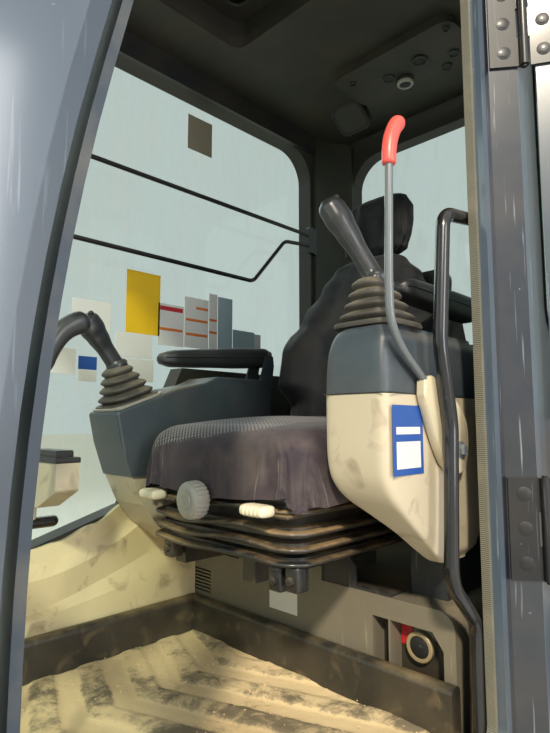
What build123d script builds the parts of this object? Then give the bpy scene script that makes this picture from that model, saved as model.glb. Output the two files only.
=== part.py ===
from build123d import *
import os
from math import cos, radians, sin, tan

# Operator's cab of a crawler excavator. The front looks along -Y, the door is on the +X side,
# the underside of the floor frame is at z = 0 and the origin is the middle of its four mounts.

# Cab shell, in millimetres
half_width = 505
front_y = -850
rear_y = 860
cab_height = 1800
side_depth = 65
roof_depth = 50
rear_depth = 60
front_depth = 60
side_foot_z = 30
roof_edge_radius = 28
roof_corner_radius = 130
front_lean = 13
front_bend_radius = 2200
front_bend_z = 460
roof_split_z = cab_height - 110

# Floor frame and the mat on it
floor_frame_height = 60
floor_plate = 6
floor_beam = 70
mat_thickness = 20
mount_block = 130
mount_spacing_x = 700
mount_spacing_y = 1300
mount_hole_radius = 9

# Doorway in the left side frame
post_width = 87
doorway_flange = 28
doorway_flange_depth = 22
doorway_low = 88
doorway_high = cab_height - 110
doorway_rear_y = 80
rebate_low = 70
rebate_high = cab_height - 84
pillar_edge_y = 150
pillar_bevel = 0.76
doorway_radius = 70
striker_z = 330

# Door, built closed on planes that turn with it about its hinge axis
door_open_angle = 172
door_gap = 6
door_hinge_gap = 14
door_back_gap = 2
door_rim = 60
door_window_low = 640
door_window_high = cab_height - 160
door_window_radius = 50
glass = 5
pane_lap = 30
pane_track = 9

# Hinges of the door
hinge_reach = 10
hinge_barrel_radius = 9
hinge_pin_radius = 5
hinge_running_gap = 0.06
hinge_leaf = 5
hinge_leaf_length = 50
hinge_height = 176
hinge_low_z = (358, 1308)

# Windows
window_corner = 110
window_ledge = 15
rear_window_half = 360
rear_window_low = 880
rear_window_high = cab_height - 155
right_window_front_inset = 120
right_window_low = 345
right_window_high = cab_height - 152
right_window_rear = 632
quarter_window_front = 250
quarter_window_rear = 632
quarter_window_low = 800
windscreen_low = 170
windscreen_split = 640
windscreen_high = cab_height - 200
windscreen_inset = 14
windscreen_rim = 45

# Roof hatch
hatch_y = -110
hatch_half_x = 270
hatch_half_y = 230
hatch_lip = 25
hatch_height = 26
hatch_hinge_radius = 7

# Ceiling and the linings
lining_thickness = 32
band_depth = 12
deck_front_y = 662
deck_top_z = 760
column_depth = 150

# Pedestal under the seat and the rail along its foot
pedestal_left_x = half_width - 133
pedestal_right_x = -half_width + 75
pedestal_front_y = 86
pedestal_top_z = 285
alcove_low_x = pedestal_left_x - 180
alcove_high_x = pedestal_left_x - 24
alcove_top_z = 243
alcove_depth = 40
rail_width = 32
rail_height = 88
rail_crown = 14

# Seat, its middle is seat_x
seat_x = -20
seat_front_y = -180
cushion_length = 455
cushion_width = 510
cushion_low_z = 490
cushion_thickness = 160
back_width = 496
back_thickness = 112
back_low_z = 575
back_length = 540
back_lean = 8
back_foot_y = 280
bolster_depth = 56
recline_y = 362
recline_z = 560
headrest_width = 222
headrest_thickness = 76
headrest_height = 190
headrest_setback = 42
headrest_gap = 8
base_width = 430
base_front_y = -150
base_depth = 400
slide_height = 30
rim_levels = (372, 397, 424, 462)
rim_height = 18
bellows_inset = 22
soft_gap = 0.3
armrest_width = 56

# Consoles beside the seat
console_inner_x = 240
console_outer_x = half_width - 125
console_front_y = -130
console_rear_y = 250
console_split_z = 680
console_top_z = 800
right_console_inner_x = -282
right_console_outer_x = -half_width + 87
boot_base = 118
boot_top = 60
boot_height = 94
boot_folds = 4
boot_flange = 132
boot_flange_height = 9
right_boot_tilt = 20

# Tubes
handrail_x = half_width - 87
handrail_radius = 12.5
guard_radius = 6.5
guard_x = -half_width + 81

os.makedirs("parts", exist_ok=True)

floor_top = floor_frame_height + mat_thickness
inner_half = half_width - side_depth
knee_z = front_bend_z + front_bend_radius * tan(radians(front_lean / 2))


def save(builder, name):
    builder.part.label = name
    export_step(builder.part, f"parts/{name}.step")


def side_outline(inset, low, high, rear, high_radius, low_radius):
    """Outline seen from the side: its front edge follows the bent front posts at this inset."""
    front = front_y + inset
    knee = knee_z - inset * tan(radians(front_lean / 2))
    brow_z = cab_height + 200
    brow = front + (brow_z - knee) * tan(radians(front_lean))
    with BuildSketch() as outline:
        with BuildLine():
            FilletPolyline(
                (front, -200), (front, knee), (brow, brow_z), radius=front_bend_radius - inset
            )
            Polyline((brow, brow_z), (rear + 200, brow_z), (rear + 200, -200), (front, -200))
        make_face()
        with Locations(((front + rear) / 2 - 200, (low + high) / 2)):
            Rectangle(rear - front + 400, high - low, mode=Mode.INTERSECT)
        fillet(outline.vertices().filter_by(lambda v: v.Y > high - 0.01), high_radius)
        fillet(outline.vertices().filter_by(lambda v: v.Y < low + 0.01), low_radius)
    return outline.sketch


def box_outline(left, right, low, high, radius=0):
    """Upright or flat rectangle by its four edges, with round corners where a radius is given."""
    with BuildSketch() as outline:
        with Locations(((left + right) / 2, (low + high) / 2)):
            Rectangle(right - left, high - low)
        if radius:
            fillet(outline.vertices(), radius)
    return outline.sketch


def polygon(points, radius=0):
    """Closed outline through the points, with every corner rounded where a radius is given."""
    with BuildSketch() as outline:
        with BuildLine():
            if radius:
                FilletPolyline(*points, radius=radius, close=True)
            else:
                Polyline(*points, close=True)
        make_face()
    return outline.sketch


def side(x):
    """Plane seen from the left side: sketch x is the cab's Y, sketch y is its Z."""
    return Plane(origin=(x, 0, 0), x_dir=(0, 1, 0), z_dir=(1, 0, 0))


def back(y):
    """Plane seen from the front: sketch x is the cab's X, sketch y is its Z, extruded rearwards."""
    return Plane(origin=(0, y, 0), x_dir=(1, 0, 0), z_dir=(0, -1, 0))


# Hinge axis of the door: it lies on the middle plane between the two bevels, past the outer edge
bevel_length = (1 + pillar_bevel**2) ** 0.5
bevel_x = 1 / bevel_length
bevel_y = pillar_bevel / bevel_length
axis_x = half_width + bevel_y * door_hinge_gap / 2 + bevel_x * hinge_reach
axis_y = pillar_edge_y - bevel_x * door_hinge_gap / 2 + bevel_y * hinge_reach


# The turn that carries every plane of the closed door to where the door stands open
door_swing = Location((axis_x, axis_y, 0), (0, 0, door_open_angle)) * Location((-axis_x, -axis_y, 0))


def swung(plane):
    """A plane of the closed door, carried round with it."""
    return Plane(door_swing * plane.location)


def bevel_plan(z):
    """Plan view whose x runs outwards along the bevel of the hinge pillar, from its outer edge."""
    return Plane(origin=(half_width, pillar_edge_y, z), x_dir=(bevel_x, bevel_y, 0), z_dir=(0, 0, 1))


def pillar_face(x):
    """Y of the hinge pillar's bevel at this x."""
    return pillar_edge_y + pillar_bevel * (x - half_width)


def door_face(x):
    """Y of the closed door's bevel at this x."""
    return pillar_face(x) - door_hinge_gap * bevel_length


# Floor frame: a pressed plate on a rim and two cross beams, with four bored mount blocks
frame_front = front_y + front_depth
frame_rear = rear_y - rear_depth
with BuildPart() as floor_frame:
    with BuildSketch():
        add(box_outline(-inner_half, inner_half, frame_front, frame_rear))
    extrude(amount=floor_frame_height)
    with BuildSketch():
        add(box_outline(-inner_half + floor_beam, inner_half - floor_beam,
                        frame_front + floor_beam, frame_rear - floor_beam))
        for y in (-mount_spacing_y / 6, mount_spacing_y / 6):
            with Locations((0, y)):
                Rectangle(2 * inner_half, floor_beam, mode=Mode.SUBTRACT)
    extrude(amount=floor_frame_height - floor_plate, mode=Mode.SUBTRACT)
    with BuildSketch():
        with GridLocations(mount_spacing_x, mount_spacing_y, 2, 2):
            Rectangle(mount_block, mount_block)
    extrude(amount=floor_frame_height)
    with GridLocations(mount_spacing_x, mount_spacing_y, 2, 2):
        Hole(mount_hole_radius)
save(floor_frame, "floor_frame")

# Rubber mat over the floor, up to the pedestal
with BuildPart() as floor_mat:
    with BuildSketch(Plane.XY.offset(floor_frame_height)):
        add(box_outline(-inner_half, inner_half, frame_front, pedestal_front_y))
        with GridLocations(mount_spacing_x, mount_spacing_y, 2, 2):
            Circle(mount_hole_radius * 2, mode=Mode.SUBTRACT)
    extrude(amount=mat_thickness)
save(floor_mat, "floor_mat")


# Left side frame: doorway with its flange, the bevelled hinge pillar and the quarter window
rebate_x = inner_half + doorway_flange_depth
striker_y = front_y + post_width + doorway_flange
bevel_start_y = pillar_face(rebate_x)
with BuildPart() as left_side_frame:
    with BuildSketch(side(inner_half)):
        add(side_outline(0, side_foot_z, cab_height, rear_y, roof_corner_radius, 20))
    extrude(amount=side_depth)
    with BuildSketch(side(inner_half)):
        add(side_outline(post_width + doorway_flange, doorway_low, doorway_high, doorway_rear_y,
                         doorway_radius, 40))
    extrude(amount=side_depth, mode=Mode.SUBTRACT)
    with BuildSketch(side(rebate_x)):
        add(side_outline(post_width, rebate_low, rebate_high, bevel_start_y, doorway_radius, 40))
    extrude(amount=side_depth, mode=Mode.SUBTRACT)
    with BuildSketch(Plane.XY.offset(rebate_low)):
        add(polygon([(rebate_x, bevel_start_y),
                     (half_width + 5, pillar_face(half_width + 5)),
                     (half_width + 5, bevel_start_y - doorway_radius),
                     (rebate_x, bevel_start_y - doorway_radius)]))
    extrude(amount=rebate_high - rebate_low, mode=Mode.SUBTRACT)
    with BuildSketch(side(inner_half)):
        add(box_outline(quarter_window_front, quarter_window_rear, quarter_window_low,
                        right_window_high, 60))
    extrude(amount=side_depth, mode=Mode.SUBTRACT)
    with BuildSketch(side(half_width - glass - 2)):
        add(box_outline(quarter_window_front - window_ledge, quarter_window_rear + window_ledge,
                        quarter_window_low - window_ledge, right_window_high + window_ledge, 75))
    extrude(amount=side_depth, mode=Mode.SUBTRACT)
    with BuildSketch(side(inner_half + 3)):
        add(box_outline(striker_y - 12, striker_y + 16, striker_z - 22, striker_z + 22))
    extrude(amount=12)
    roof_edge = left_side_frame.edges().filter_by(Axis.Y).filter_by(
        lambda e: e.center().Z > cab_height - 1 and e.center().X > half_width - 1)
    fillet(roof_edge, roof_edge_radius)
save(left_side_frame, "left_side_frame")


def right_window_outline(grow):
    """Large right window: its sill steps up beside the seat, and grow widens it for the glass."""
    with BuildSketch() as outline:
        add(side_outline(right_window_front_inset - grow, right_window_low - grow,
                         right_window_high + grow, right_window_rear + grow,
                         window_corner + grow, 40 + grow))
        add(polygon([(-350 + grow, right_window_low - 60), (-350 + grow, right_window_low - grow),
                     (-110 + grow, right_window_low + 72 - grow), (60 + grow, 790 - grow),
                     (right_window_rear + 60, 790 - grow),
                     (right_window_rear + 60, right_window_low - 60)]), mode=Mode.SUBTRACT)
    return outline.sketch


# Right side frame: one pressed frame round the large window
with BuildPart() as right_side_frame:
    with BuildSketch(side(-half_width)):
        add(side_outline(0, side_foot_z, cab_height, rear_y, roof_corner_radius, 20))
    extrude(amount=side_depth)
    with BuildSketch(side(-half_width)):
        add(right_window_outline(0))
    extrude(amount=side_depth, mode=Mode.SUBTRACT)
    with BuildSketch(side(-half_width)):
        add(right_window_outline(window_ledge))
    extrude(amount=glass + 2, mode=Mode.SUBTRACT)
    roof_edge = right_side_frame.edges().filter_by(Axis.Y).filter_by(
        lambda e: e.center().Z > cab_height - 1 and e.center().X < -half_width + 1)
    fillet(roof_edge, roof_edge_radius)
save(right_side_frame, "right_side_frame")


def shell_band(depth, low, high, front, rear):
    """Slice of the cab's outer skin of this depth, kept between two heights and two Y values."""
    with BuildSketch() as band:
        add(side_outline(0, side_foot_z, cab_height, rear_y, roof_corner_radius, 20))
        add(side_outline(depth, side_foot_z - 50, cab_height - depth, rear_y - depth,
                         roof_corner_radius - depth, 10), mode=Mode.SUBTRACT)
        with Locations(((front + rear) / 2, (low + high) / 2)):
            Rectangle(rear - front, high - low, mode=Mode.INTERSECT)
    return band.sketch


# Roof panel between the side frames, with the hole for the hatch and its two hinge lugs
hatch_axis_y = hatch_y + hatch_half_y + hatch_lip + 11
hatch_axis_z = cab_height + 13
hatch_hinge_x = (-180, 180)
with BuildPart() as roof_panel:
    with BuildSketch(side(-inner_half)):
        add(shell_band(roof_depth, roof_split_z, cab_height + 10, front_y, rear_y + 10))
    extrude(amount=2 * inner_half)
    with BuildSketch(Plane.XY.offset(cab_height - roof_depth - 10)):
        add(box_outline(-hatch_half_x, hatch_half_x, hatch_y - hatch_half_y,
                        hatch_y + hatch_half_y, 40))
    extrude(amount=roof_depth + 20, mode=Mode.SUBTRACT)
    for x in hatch_hinge_x:
        for start in (x - 33.5, x + 15.5):
            with BuildSketch(side(start)):
                with Locations((hatch_axis_y, hatch_axis_z)):
                    Circle(hatch_hinge_radius)
                add(box_outline(hatch_axis_y - hatch_hinge_radius, hatch_axis_y + hatch_hinge_radius,
                                cab_height, hatch_axis_z))
            extrude(amount=18)
        with BuildSketch(side(x - 34)):
            with Locations((hatch_axis_y, hatch_axis_z)):
                Circle(3)
        extrude(amount=68)
save(roof_panel, "roof_panel")

# Rear wall with the rear window
with BuildPart() as rear_wall:
    with BuildSketch(side(-inner_half)):
        add(shell_band(rear_depth, side_foot_z, roof_split_z, frame_rear - 30, rear_y + 10))
    extrude(amount=2 * inner_half)
    with BuildSketch(back(rear_y)):
        add(box_outline(-rear_window_half, rear_window_half, rear_window_low, rear_window_high,
                        window_corner))
    extrude(amount=rear_depth, mode=Mode.SUBTRACT)
    with BuildSketch(back(rear_y)):
        add(box_outline(-rear_window_half - window_ledge, rear_window_half + window_ledge,
                        rear_window_low - window_ledge, rear_window_high + window_ledge,
                        window_corner + window_ledge))
    extrude(amount=glass + 2, mode=Mode.SUBTRACT)
save(rear_wall, "rear_wall")

# Front frame: the sill below the lower windscreen and the header above the upper one
with BuildPart() as front_frame:
    for low, high in ((side_foot_z, windscreen_low), (windscreen_high, roof_split_z)):
        with BuildSketch(side(-inner_half)):
            add(shell_band(front_depth, low, high, front_y - 10, -300))
        extrude(amount=2 * inner_half)
save(front_frame, "front_frame")

# Windscreens: bent glass in a thin frame above, plain glass below
with BuildPart() as windscreen_frame:
    with BuildSketch(side(-inner_half)):
        add(side_outline(windscreen_inset, windscreen_split, windscreen_high, -300, 1, 1))
        add(side_outline(windscreen_inset + 26, windscreen_split - 5, windscreen_high + 5, -200, 1, 1),
            mode=Mode.SUBTRACT)
    extrude(amount=2 * inner_half)
    with BuildSketch(back(0)):
        add(box_outline(-inner_half + windscreen_rim, inner_half - windscreen_rim,
                        windscreen_split + windscreen_rim, windscreen_high - windscreen_rim, 40))
    extrude(amount=-front_y + 50, mode=Mode.SUBTRACT)
save(windscreen_frame, "windscreen_frame")

with BuildPart() as windscreens:
    with BuildSketch(side(-inner_half + windscreen_rim)):
        add(side_outline(windscreen_inset + 4, windscreen_split, windscreen_high, -300, 1, 1))
        add(side_outline(windscreen_inset + 4 + glass, windscreen_split - 5, windscreen_high + 5,
                         -200, 1, 1), mode=Mode.SUBTRACT)
    extrude(amount=2 * (inner_half - windscreen_rim))
    with BuildSketch(back(0)):
        add(box_outline(-inner_half + windscreen_rim, inner_half - windscreen_rim,
                        windscreen_split + windscreen_rim, windscreen_high - windscreen_rim, 40))
    extrude(amount=-front_y + 50, mode=Mode.INTERSECT)
    with BuildSketch(side(-inner_half)):
        add(side_outline(windscreen_inset + 4, windscreen_low, windscreen_split, -300, 1, 1))
        add(side_outline(windscreen_inset + 4 + glass, windscreen_low - 5, windscreen_split + 5,
                         -200, 1, 1), mode=Mode.SUBTRACT)
    extrude(amount=2 * inner_half)
save(windscreens, "windscreens")

# Fixed side and rear glass, bonded into the ledges from outside
with BuildPart() as fixed_windows:
    with BuildSketch(side(-half_width + 2)):
        add(right_window_outline(window_ledge))
    extrude(amount=glass)
    with BuildSketch(side(half_width - glass - 2)):
        add(box_outline(quarter_window_front - window_ledge, quarter_window_rear + window_ledge,
                        quarter_window_low - window_ledge, right_window_high + window_ledge, 75))
    extrude(amount=glass)
    with BuildSketch(back(rear_y - 2)):
        add(box_outline(-rear_window_half - window_ledge, rear_window_half + window_ledge,
                        rear_window_low - window_ledge, rear_window_high + window_ledge,
                        window_corner + window_ledge))
    extrude(amount=glass)
save(fixed_windows, "fixed_windows")

# Door: a pressed frame with a window over a panel, its rear edge bevelled like the pillar
door_x = rebate_x + door_back_gap
door_thickness = half_width - door_x
door_inset = post_width + door_gap
door_rear_y = door_face(half_width)
window_rear_y = door_face(door_x) - door_rim
with BuildPart() as door_frame:
    with BuildSketch(swung(side(door_x))):
        add(side_outline(door_inset, rebate_low + door_gap, rebate_high - door_gap, door_rear_y,
                         doorway_radius - door_gap, 34))
    extrude(amount=door_thickness)
    with BuildSketch(swung(side(door_x))):
        add(side_outline(door_inset + door_rim, door_window_low, door_window_high, window_rear_y,
                         door_window_radius, door_window_radius))
    extrude(amount=door_thickness, mode=Mode.SUBTRACT)
    with BuildSketch(swung(side(half_width - 6))):
        add(side_outline(door_inset + door_rim, 140, 560, window_rear_y, 40, 40))
    extrude(amount=10, mode=Mode.SUBTRACT)
    with BuildSketch(swung(side(door_x))):
        add(side_outline(door_inset + door_rim, 140, 560, window_rear_y, 40, 40))
    extrude(amount=20, mode=Mode.SUBTRACT)
    with BuildSketch(swung(Plane.XY.offset(rebate_low))):
        add(polygon([(door_x - 5, door_face(door_x - 5)), (half_width + 5, door_face(half_width + 5)),
                     (half_width + 5, door_rear_y + 20), (door_x - 5, door_rear_y + 20)]))
    extrude(amount=rebate_high - rebate_low, mode=Mode.SUBTRACT)
save(door_frame, "door_frame")

# Two sliding panes of the door, one behind the other, each in its own track
pane_middle = (front_y + door_inset + door_rim + window_rear_y) / 2 + 60
with BuildPart() as door_panes:
    for x, low, high in ((door_x + 12 + pane_track, -900, pane_middle + pane_lap / 2),
                         (door_x + 12, pane_middle - pane_lap / 2, 200)):
        with BuildSketch(swung(side(x))):
            add(side_outline(door_inset + door_rim, door_window_low, door_window_high,
                             window_rear_y, door_window_radius, door_window_radius))
            add(box_outline(low, high, 0, cab_height), mode=Mode.INTERSECT)
        extrude(amount=glass)
save(door_panes, "door_panes")

# Outside pull handle with its plate, the inside grab bar on two feet, and the latch box
handle_y = -690
grab_low_y = -560
grab_high_y = -140
grab_z = 600
grab_reach = 26
with BuildPart() as door_handles:
    with BuildSketch(swung(side(half_width))):
        add(box_outline(handle_y - 45, handle_y + 45, 572, 636, 12))
    extrude(amount=5)
    for z in (582, 616):
        with BuildSketch(swung(side(half_width + 5))):
            add(box_outline(handle_y - 30, handle_y - 14, z, z + 10, 3))
        extrude(amount=16)
    with BuildSketch(swung(side(half_width + 21))):
        add(box_outline(handle_y - 34, handle_y - 10, 576, 632, 8))
    extrude(amount=10)
    with BuildLine() as grab_path:
        FilletPolyline(
            *[swung(side(door_x - reach)).from_local_coords((y, grab_z, 0))
              for reach, y in ((0, grab_low_y), (grab_reach, grab_low_y),
                               (grab_reach, grab_high_y), (0, grab_high_y))],
            radius=18)
    with BuildSketch(Plane(grab_path.line @ 0, z_dir=grab_path.line % 0)):
        Circle(8)
    sweep()
    with BuildSketch(swung(side(door_x))):
        add(box_outline(handle_y + 10, handle_y + 62, 566, 626, 6))
    extrude(amount=-14)
save(door_handles, "door_handles")

# Seal round the doorway's flange
with BuildPart() as door_seal:
    with BuildSketch(side(inner_half - 8)):
        add(side_outline(post_width + doorway_flange, doorway_low, doorway_high, doorway_rear_y,
                         doorway_radius, 40))
        add(side_outline(post_width + doorway_flange + 9, doorway_low + 9, doorway_high - 9,
                         doorway_rear_y - 9, doorway_radius - 9, 31), mode=Mode.SUBTRACT)
    extrude(amount=doorway_flange_depth + 8 + door_back_gap - 0.5)
    with BuildSketch(side(inner_half)):
        add(box_outline(striker_y - 10, striker_y + 18, striker_z - 24, striker_z + 24))
    extrude(amount=30, mode=Mode.SUBTRACT)
save(door_seal, "door_seal")


# Hinges: each leaf lies on its bevel, with outer knuckles on the pillar and the middle one on the door
knuckle = hinge_height / 3
axis_point = (hinge_reach, -door_hinge_gap / 2)
with BuildPart() as pillar_hinges:
    for low in hinge_low_z:
        with BuildSketch(bevel_plan(low)):
            add(box_outline(-hinge_leaf_length - 2, -2, -hinge_leaf, 0))
        extrude(amount=hinge_height)
        for z in (low, low + 2 * knuckle + 0.5):
            with BuildSketch(bevel_plan(z)):
                add(box_outline(-3, hinge_reach, -hinge_leaf, 0))
                with Locations(axis_point):
                    Circle(hinge_barrel_radius)
            extrude(amount=knuckle - 0.5)
        with BuildSketch(bevel_plan(low - 4)):
            with Locations(axis_point):
                Circle(hinge_pin_radius)
        extrude(amount=hinge_height + 8)
save(pillar_hinges, "pillar_hinges")

with BuildPart() as door_hinges:
    for low in hinge_low_z:
        with BuildSketch(swung(bevel_plan(low))):
            add(box_outline(-hinge_leaf_length - 2, -2, -door_hinge_gap, -door_hinge_gap + hinge_leaf))
        extrude(amount=hinge_height)
        with BuildSketch(swung(bevel_plan(low + knuckle))):
            add(box_outline(-3, hinge_reach, -door_hinge_gap, -door_hinge_gap + hinge_leaf))
            with Locations(axis_point):
                Circle(hinge_barrel_radius)
                Circle(hinge_pin_radius + hinge_running_gap, mode=Mode.SUBTRACT)
        extrude(amount=knuckle)
save(door_hinges, "door_hinges")

# Roof hatch: a lid over the hole, with clear glass and two hinges at its rear edge
hatch_top = cab_height + soft_gap
with BuildPart() as roof_hatch:
    with BuildSketch(Plane.XY.offset(hatch_top)):
        add(box_outline(-hatch_half_x - hatch_lip, hatch_half_x + hatch_lip,
                        hatch_y - hatch_half_y - hatch_lip, hatch_y + hatch_half_y + hatch_lip, 55))
        add(box_outline(-hatch_half_x + 40, hatch_half_x - 40, hatch_y - hatch_half_y + 40,
                        hatch_y + hatch_half_y - 40, 30), mode=Mode.SUBTRACT)
    extrude(amount=hatch_height)
    for x in hatch_hinge_x:
        with BuildSketch(side(x - 15)):
            with Locations((hatch_axis_y, hatch_axis_z)):
                Circle(hatch_hinge_radius)
            add(box_outline(hatch_axis_y - 18, hatch_axis_y, hatch_axis_z - 4, hatch_axis_z + 4))
            with Locations((hatch_axis_y, hatch_axis_z)):
                Circle(3 + hinge_running_gap, mode=Mode.SUBTRACT)
        extrude(amount=30)
save(roof_hatch, "roof_hatch")

with BuildPart() as hatch_glass:
    with BuildSketch(Plane.XY.offset(hatch_top + 8)):
        add(box_outline(-hatch_half_x + 40, hatch_half_x - 40, hatch_y - hatch_half_y + 40,
                        hatch_y + hatch_half_y - 40, 30))
    extrude(amount=glass)
save(hatch_glass, "hatch_glass")

# Ceiling lining, with the hatch hole through it
ceiling_z = cab_height - roof_depth - lining_thickness
with BuildPart() as ceiling_lining:
    with BuildSketch(side(-inner_half)):
        add(side_outline(front_depth, ceiling_z - 200, cab_height - roof_depth, frame_rear,
                         roof_corner_radius - roof_depth, 1))
        add(box_outline(front_y, rear_y, ceiling_z, cab_height), mode=Mode.INTERSECT)
    extrude(amount=2 * inner_half)
    with BuildSketch(Plane.XY.offset(ceiling_z - 10)):
        add(box_outline(-hatch_half_x, hatch_half_x, hatch_y - hatch_half_y,
                        hatch_y + hatch_half_y, 40))
    extrude(amount=lining_thickness + 20, mode=Mode.SUBTRACT)
save(ceiling_lining, "ceiling_lining")

# Dark bands along the tops of the side windows
with BuildPart() as window_bands:
    for x in (-inner_half, inner_half - band_depth):
        with BuildSketch(side(x)):
            add(side_outline(front_depth + 60, right_window_high, ceiling_z, frame_rear - column_depth,
                             1, 1))
            if x > 0:
                add(box_outline(-900, doorway_rear_y + 30, 0, cab_height), mode=Mode.SUBTRACT)
        extrude(amount=band_depth)
save(window_bands, "window_bands")

# Overhead console under the rear of the ceiling, with the dome lamp's seat, and the two speakers
speaker_tilt = 35
speaker_y = 618
lamp_seat = (24, 552)
with BuildPart() as overhead_console:
    with BuildSketch(Plane.XY.offset(ceiling_z)):
        add(box_outline(-150, 250, 400, 600, 40))
    extrude(amount=-24)
    with BuildSketch(Plane.XY.offset(ceiling_z - 24)):
        with Locations(lamp_seat):
            Circle(26)
    extrude(amount=-8)
    for x in (-226, 326):
        with BuildSketch(Plane(origin=(x, speaker_y, ceiling_z - 4), x_dir=(1, 0, 0),
                               z_dir=(0, -sin(radians(speaker_tilt)), -cos(radians(speaker_tilt))))):
            RectangleRounded(120, 110, 24)
        extrude(amount=30)
    with BuildSketch(side(-400)):
        add(box_outline(speaker_y - 100, speaker_y + 100, ceiling_z, ceiling_z + 100))
    extrude(amount=800, mode=Mode.SUBTRACT)
save(overhead_console, "overhead_console")

# Columns in the rear corners, hollowed towards the middle of the cab
with BuildPart() as rear_columns:
    for sign in (-1, 1):
        outer = sign * inner_half
        inner = sign * rear_window_half
        with BuildSketch(Plane.XY.offset(deck_top_z)):
            with BuildLine():
                Polyline((inner, frame_rear - 14), (inner, frame_rear), (outer, frame_rear),
                         (outer, frame_rear - column_depth),
                         (outer - sign * 14, frame_rear - column_depth))
                ThreePointArc((outer - sign * 14, frame_rear - column_depth),
                              (outer - sign * 31, frame_rear - 62), (inner, frame_rear - 14))
            make_face()
        extrude(amount=ceiling_z - deck_top_z)
    with BuildSketch(side(-inner_half)):
        add(side_outline(rear_depth, floor_top, cab_height - rear_depth, frame_rear,
                         roof_corner_radius - roof_depth, 1))
    extrude(amount=2 * inner_half, mode=Mode.INTERSECT)
save(rear_columns, "rear_columns")

# Deck behind the seat, over the air unit
with BuildPart() as rear_deck:
    with BuildSketch(side(-inner_half)):
        add(box_outline(deck_front_y, frame_rear, floor_frame_height, deck_top_z))
    extrude(amount=2 * inner_half)
    fillet(rear_deck.edges().filter_by(Axis.X).sort_by(Axis.Z)[-2:].sort_by(Axis.Y)[0], 45)
save(rear_deck, "rear_deck")

# Side trim below the right window: a thick foot behind the rail and a thin upper part
trim_front_y = frame_front
trim_foot_top = 236
trim_foot_reach = 42
trim_upper_reach = 14
with BuildPart() as side_trim:
    with BuildSketch(side(-inner_half)):
        add(box_outline(trim_front_y, pedestal_front_y, floor_top, trim_foot_top))
    extrude(amount=trim_foot_reach)
    chamfer(side_trim.edges().filter_by(Axis.Y).sort_by(Axis.Z)[-2:].sort_by(Axis.X)[-1],
            trim_foot_reach - trim_upper_reach)
    with BuildSketch(side(-inner_half)):
        add(polygon([(trim_front_y, floor_top), (pedestal_front_y, floor_top), (pedestal_front_y, 520),
                     (-36, 470), (-108, 416), (-214, 366), (-350, right_window_low - 6),
                     (trim_front_y, right_window_low - 6)]))
    extrude(amount=trim_upper_reach)
save(side_trim, "side_trim")

# Pedestal with the seat's slides on top: air vents at the far end, an alcove by the door
alcove_wall_x = alcove_low_x + 40
base_left = seat_x - base_width / 2
base_right = seat_x + base_width / 2
slide_right_x = base_left + 40
slide_left_x = base_right - 160
with BuildPart() as seat_pedestal:
    with BuildSketch(back(deck_front_y)):
        add(box_outline(pedestal_right_x, pedestal_left_x, floor_frame_height, pedestal_top_z))
    extrude(amount=deck_front_y - pedestal_front_y)
    fillet(seat_pedestal.edges().filter_by(Axis.Y).sort_by(Axis.Z)[-2:].sort_by(Axis.X)[-1], 34)
    with BuildSketch(back(pedestal_front_y + alcove_depth)):
        add(polygon([(alcove_low_x, floor_top), (alcove_low_x, alcove_top_z),
                     (alcove_high_x - 22, alcove_top_z), (alcove_high_x, alcove_top_z - 30),
                     (alcove_high_x, floor_top)]))
        add(box_outline(alcove_wall_x - 2, alcove_wall_x + 2, floor_top, alcove_top_z),
            mode=Mode.SUBTRACT)
    extrude(amount=alcove_depth + 5, mode=Mode.SUBTRACT)
    for i in range(7):
        with BuildSketch(back(pedestal_front_y + 12)):
            add(box_outline(pedestal_right_x + 12, pedestal_right_x + 102, 176 + 9 * i, 181 + 9 * i, 2))
        extrude(amount=20, mode=Mode.SUBTRACT)
    for x in (slide_right_x, slide_left_x):
        with BuildSketch(back(base_front_y + base_depth + 50)):
            add(box_outline(x - 22, x + 22, pedestal_top_z, pedestal_top_z + slide_height))
        extrude(amount=base_front_y + base_depth + 50 - pedestal_front_y)
    with BuildSketch(back(pedestal_front_y + alcove_depth)):
        with Locations(((alcove_wall_x + alcove_high_x) / 2 - 6, 198)):
            Circle(27)
            Circle(17, mode=Mode.SUBTRACT)
    extrude(amount=14)
save(seat_pedestal, "seat_pedestal")

# Rubber rail along the foot of the pedestal and up the right side, with a round top
rail_rear_y = pedestal_front_y
rail_corner_x = -inner_half + 42
with BuildPart() as kick_rail:
    with BuildSketch(Plane.XY.offset(floor_top)):
        add(box_outline(rail_corner_x, pedestal_left_x + 6, rail_rear_y - rail_width, rail_rear_y))
        add(box_outline(rail_corner_x, rail_corner_x + rail_width, trim_front_y + 60, rail_rear_y))
    extrude(amount=rail_height)
    fillet(kick_rail.faces().sort_by(Axis.Z)[-1].edges().filter_by(lambda e: e.length > 200), rail_crown)
save(kick_rail, "kick_rail")

# Bracket with a gusset at the front edge of the pedestal, and the stand of the left console
with BuildPart() as console_stand:
    with BuildSketch(back(pedestal_front_y + 8)):
        add(polygon([(62, pedestal_top_z), (62, 362), (70, 367), (112, 367), (150, 330),
                     (150, pedestal_top_z)]))
    extrude(amount=5)
    with BuildSketch(Plane.XY.offset(pedestal_top_z)):
        add(box_outline(62, 236, pedestal_front_y + 3, pedestal_front_y + 60))
    extrude(amount=5)
    with BuildSketch(Plane.XY.offset(pedestal_top_z)):
        add(box_outline(console_outer_x - 132, console_outer_x - 52, pedestal_front_y + 60,
                        pedestal_front_y + 214))
    extrude(amount=140)
save(console_stand, "console_stand")

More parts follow.
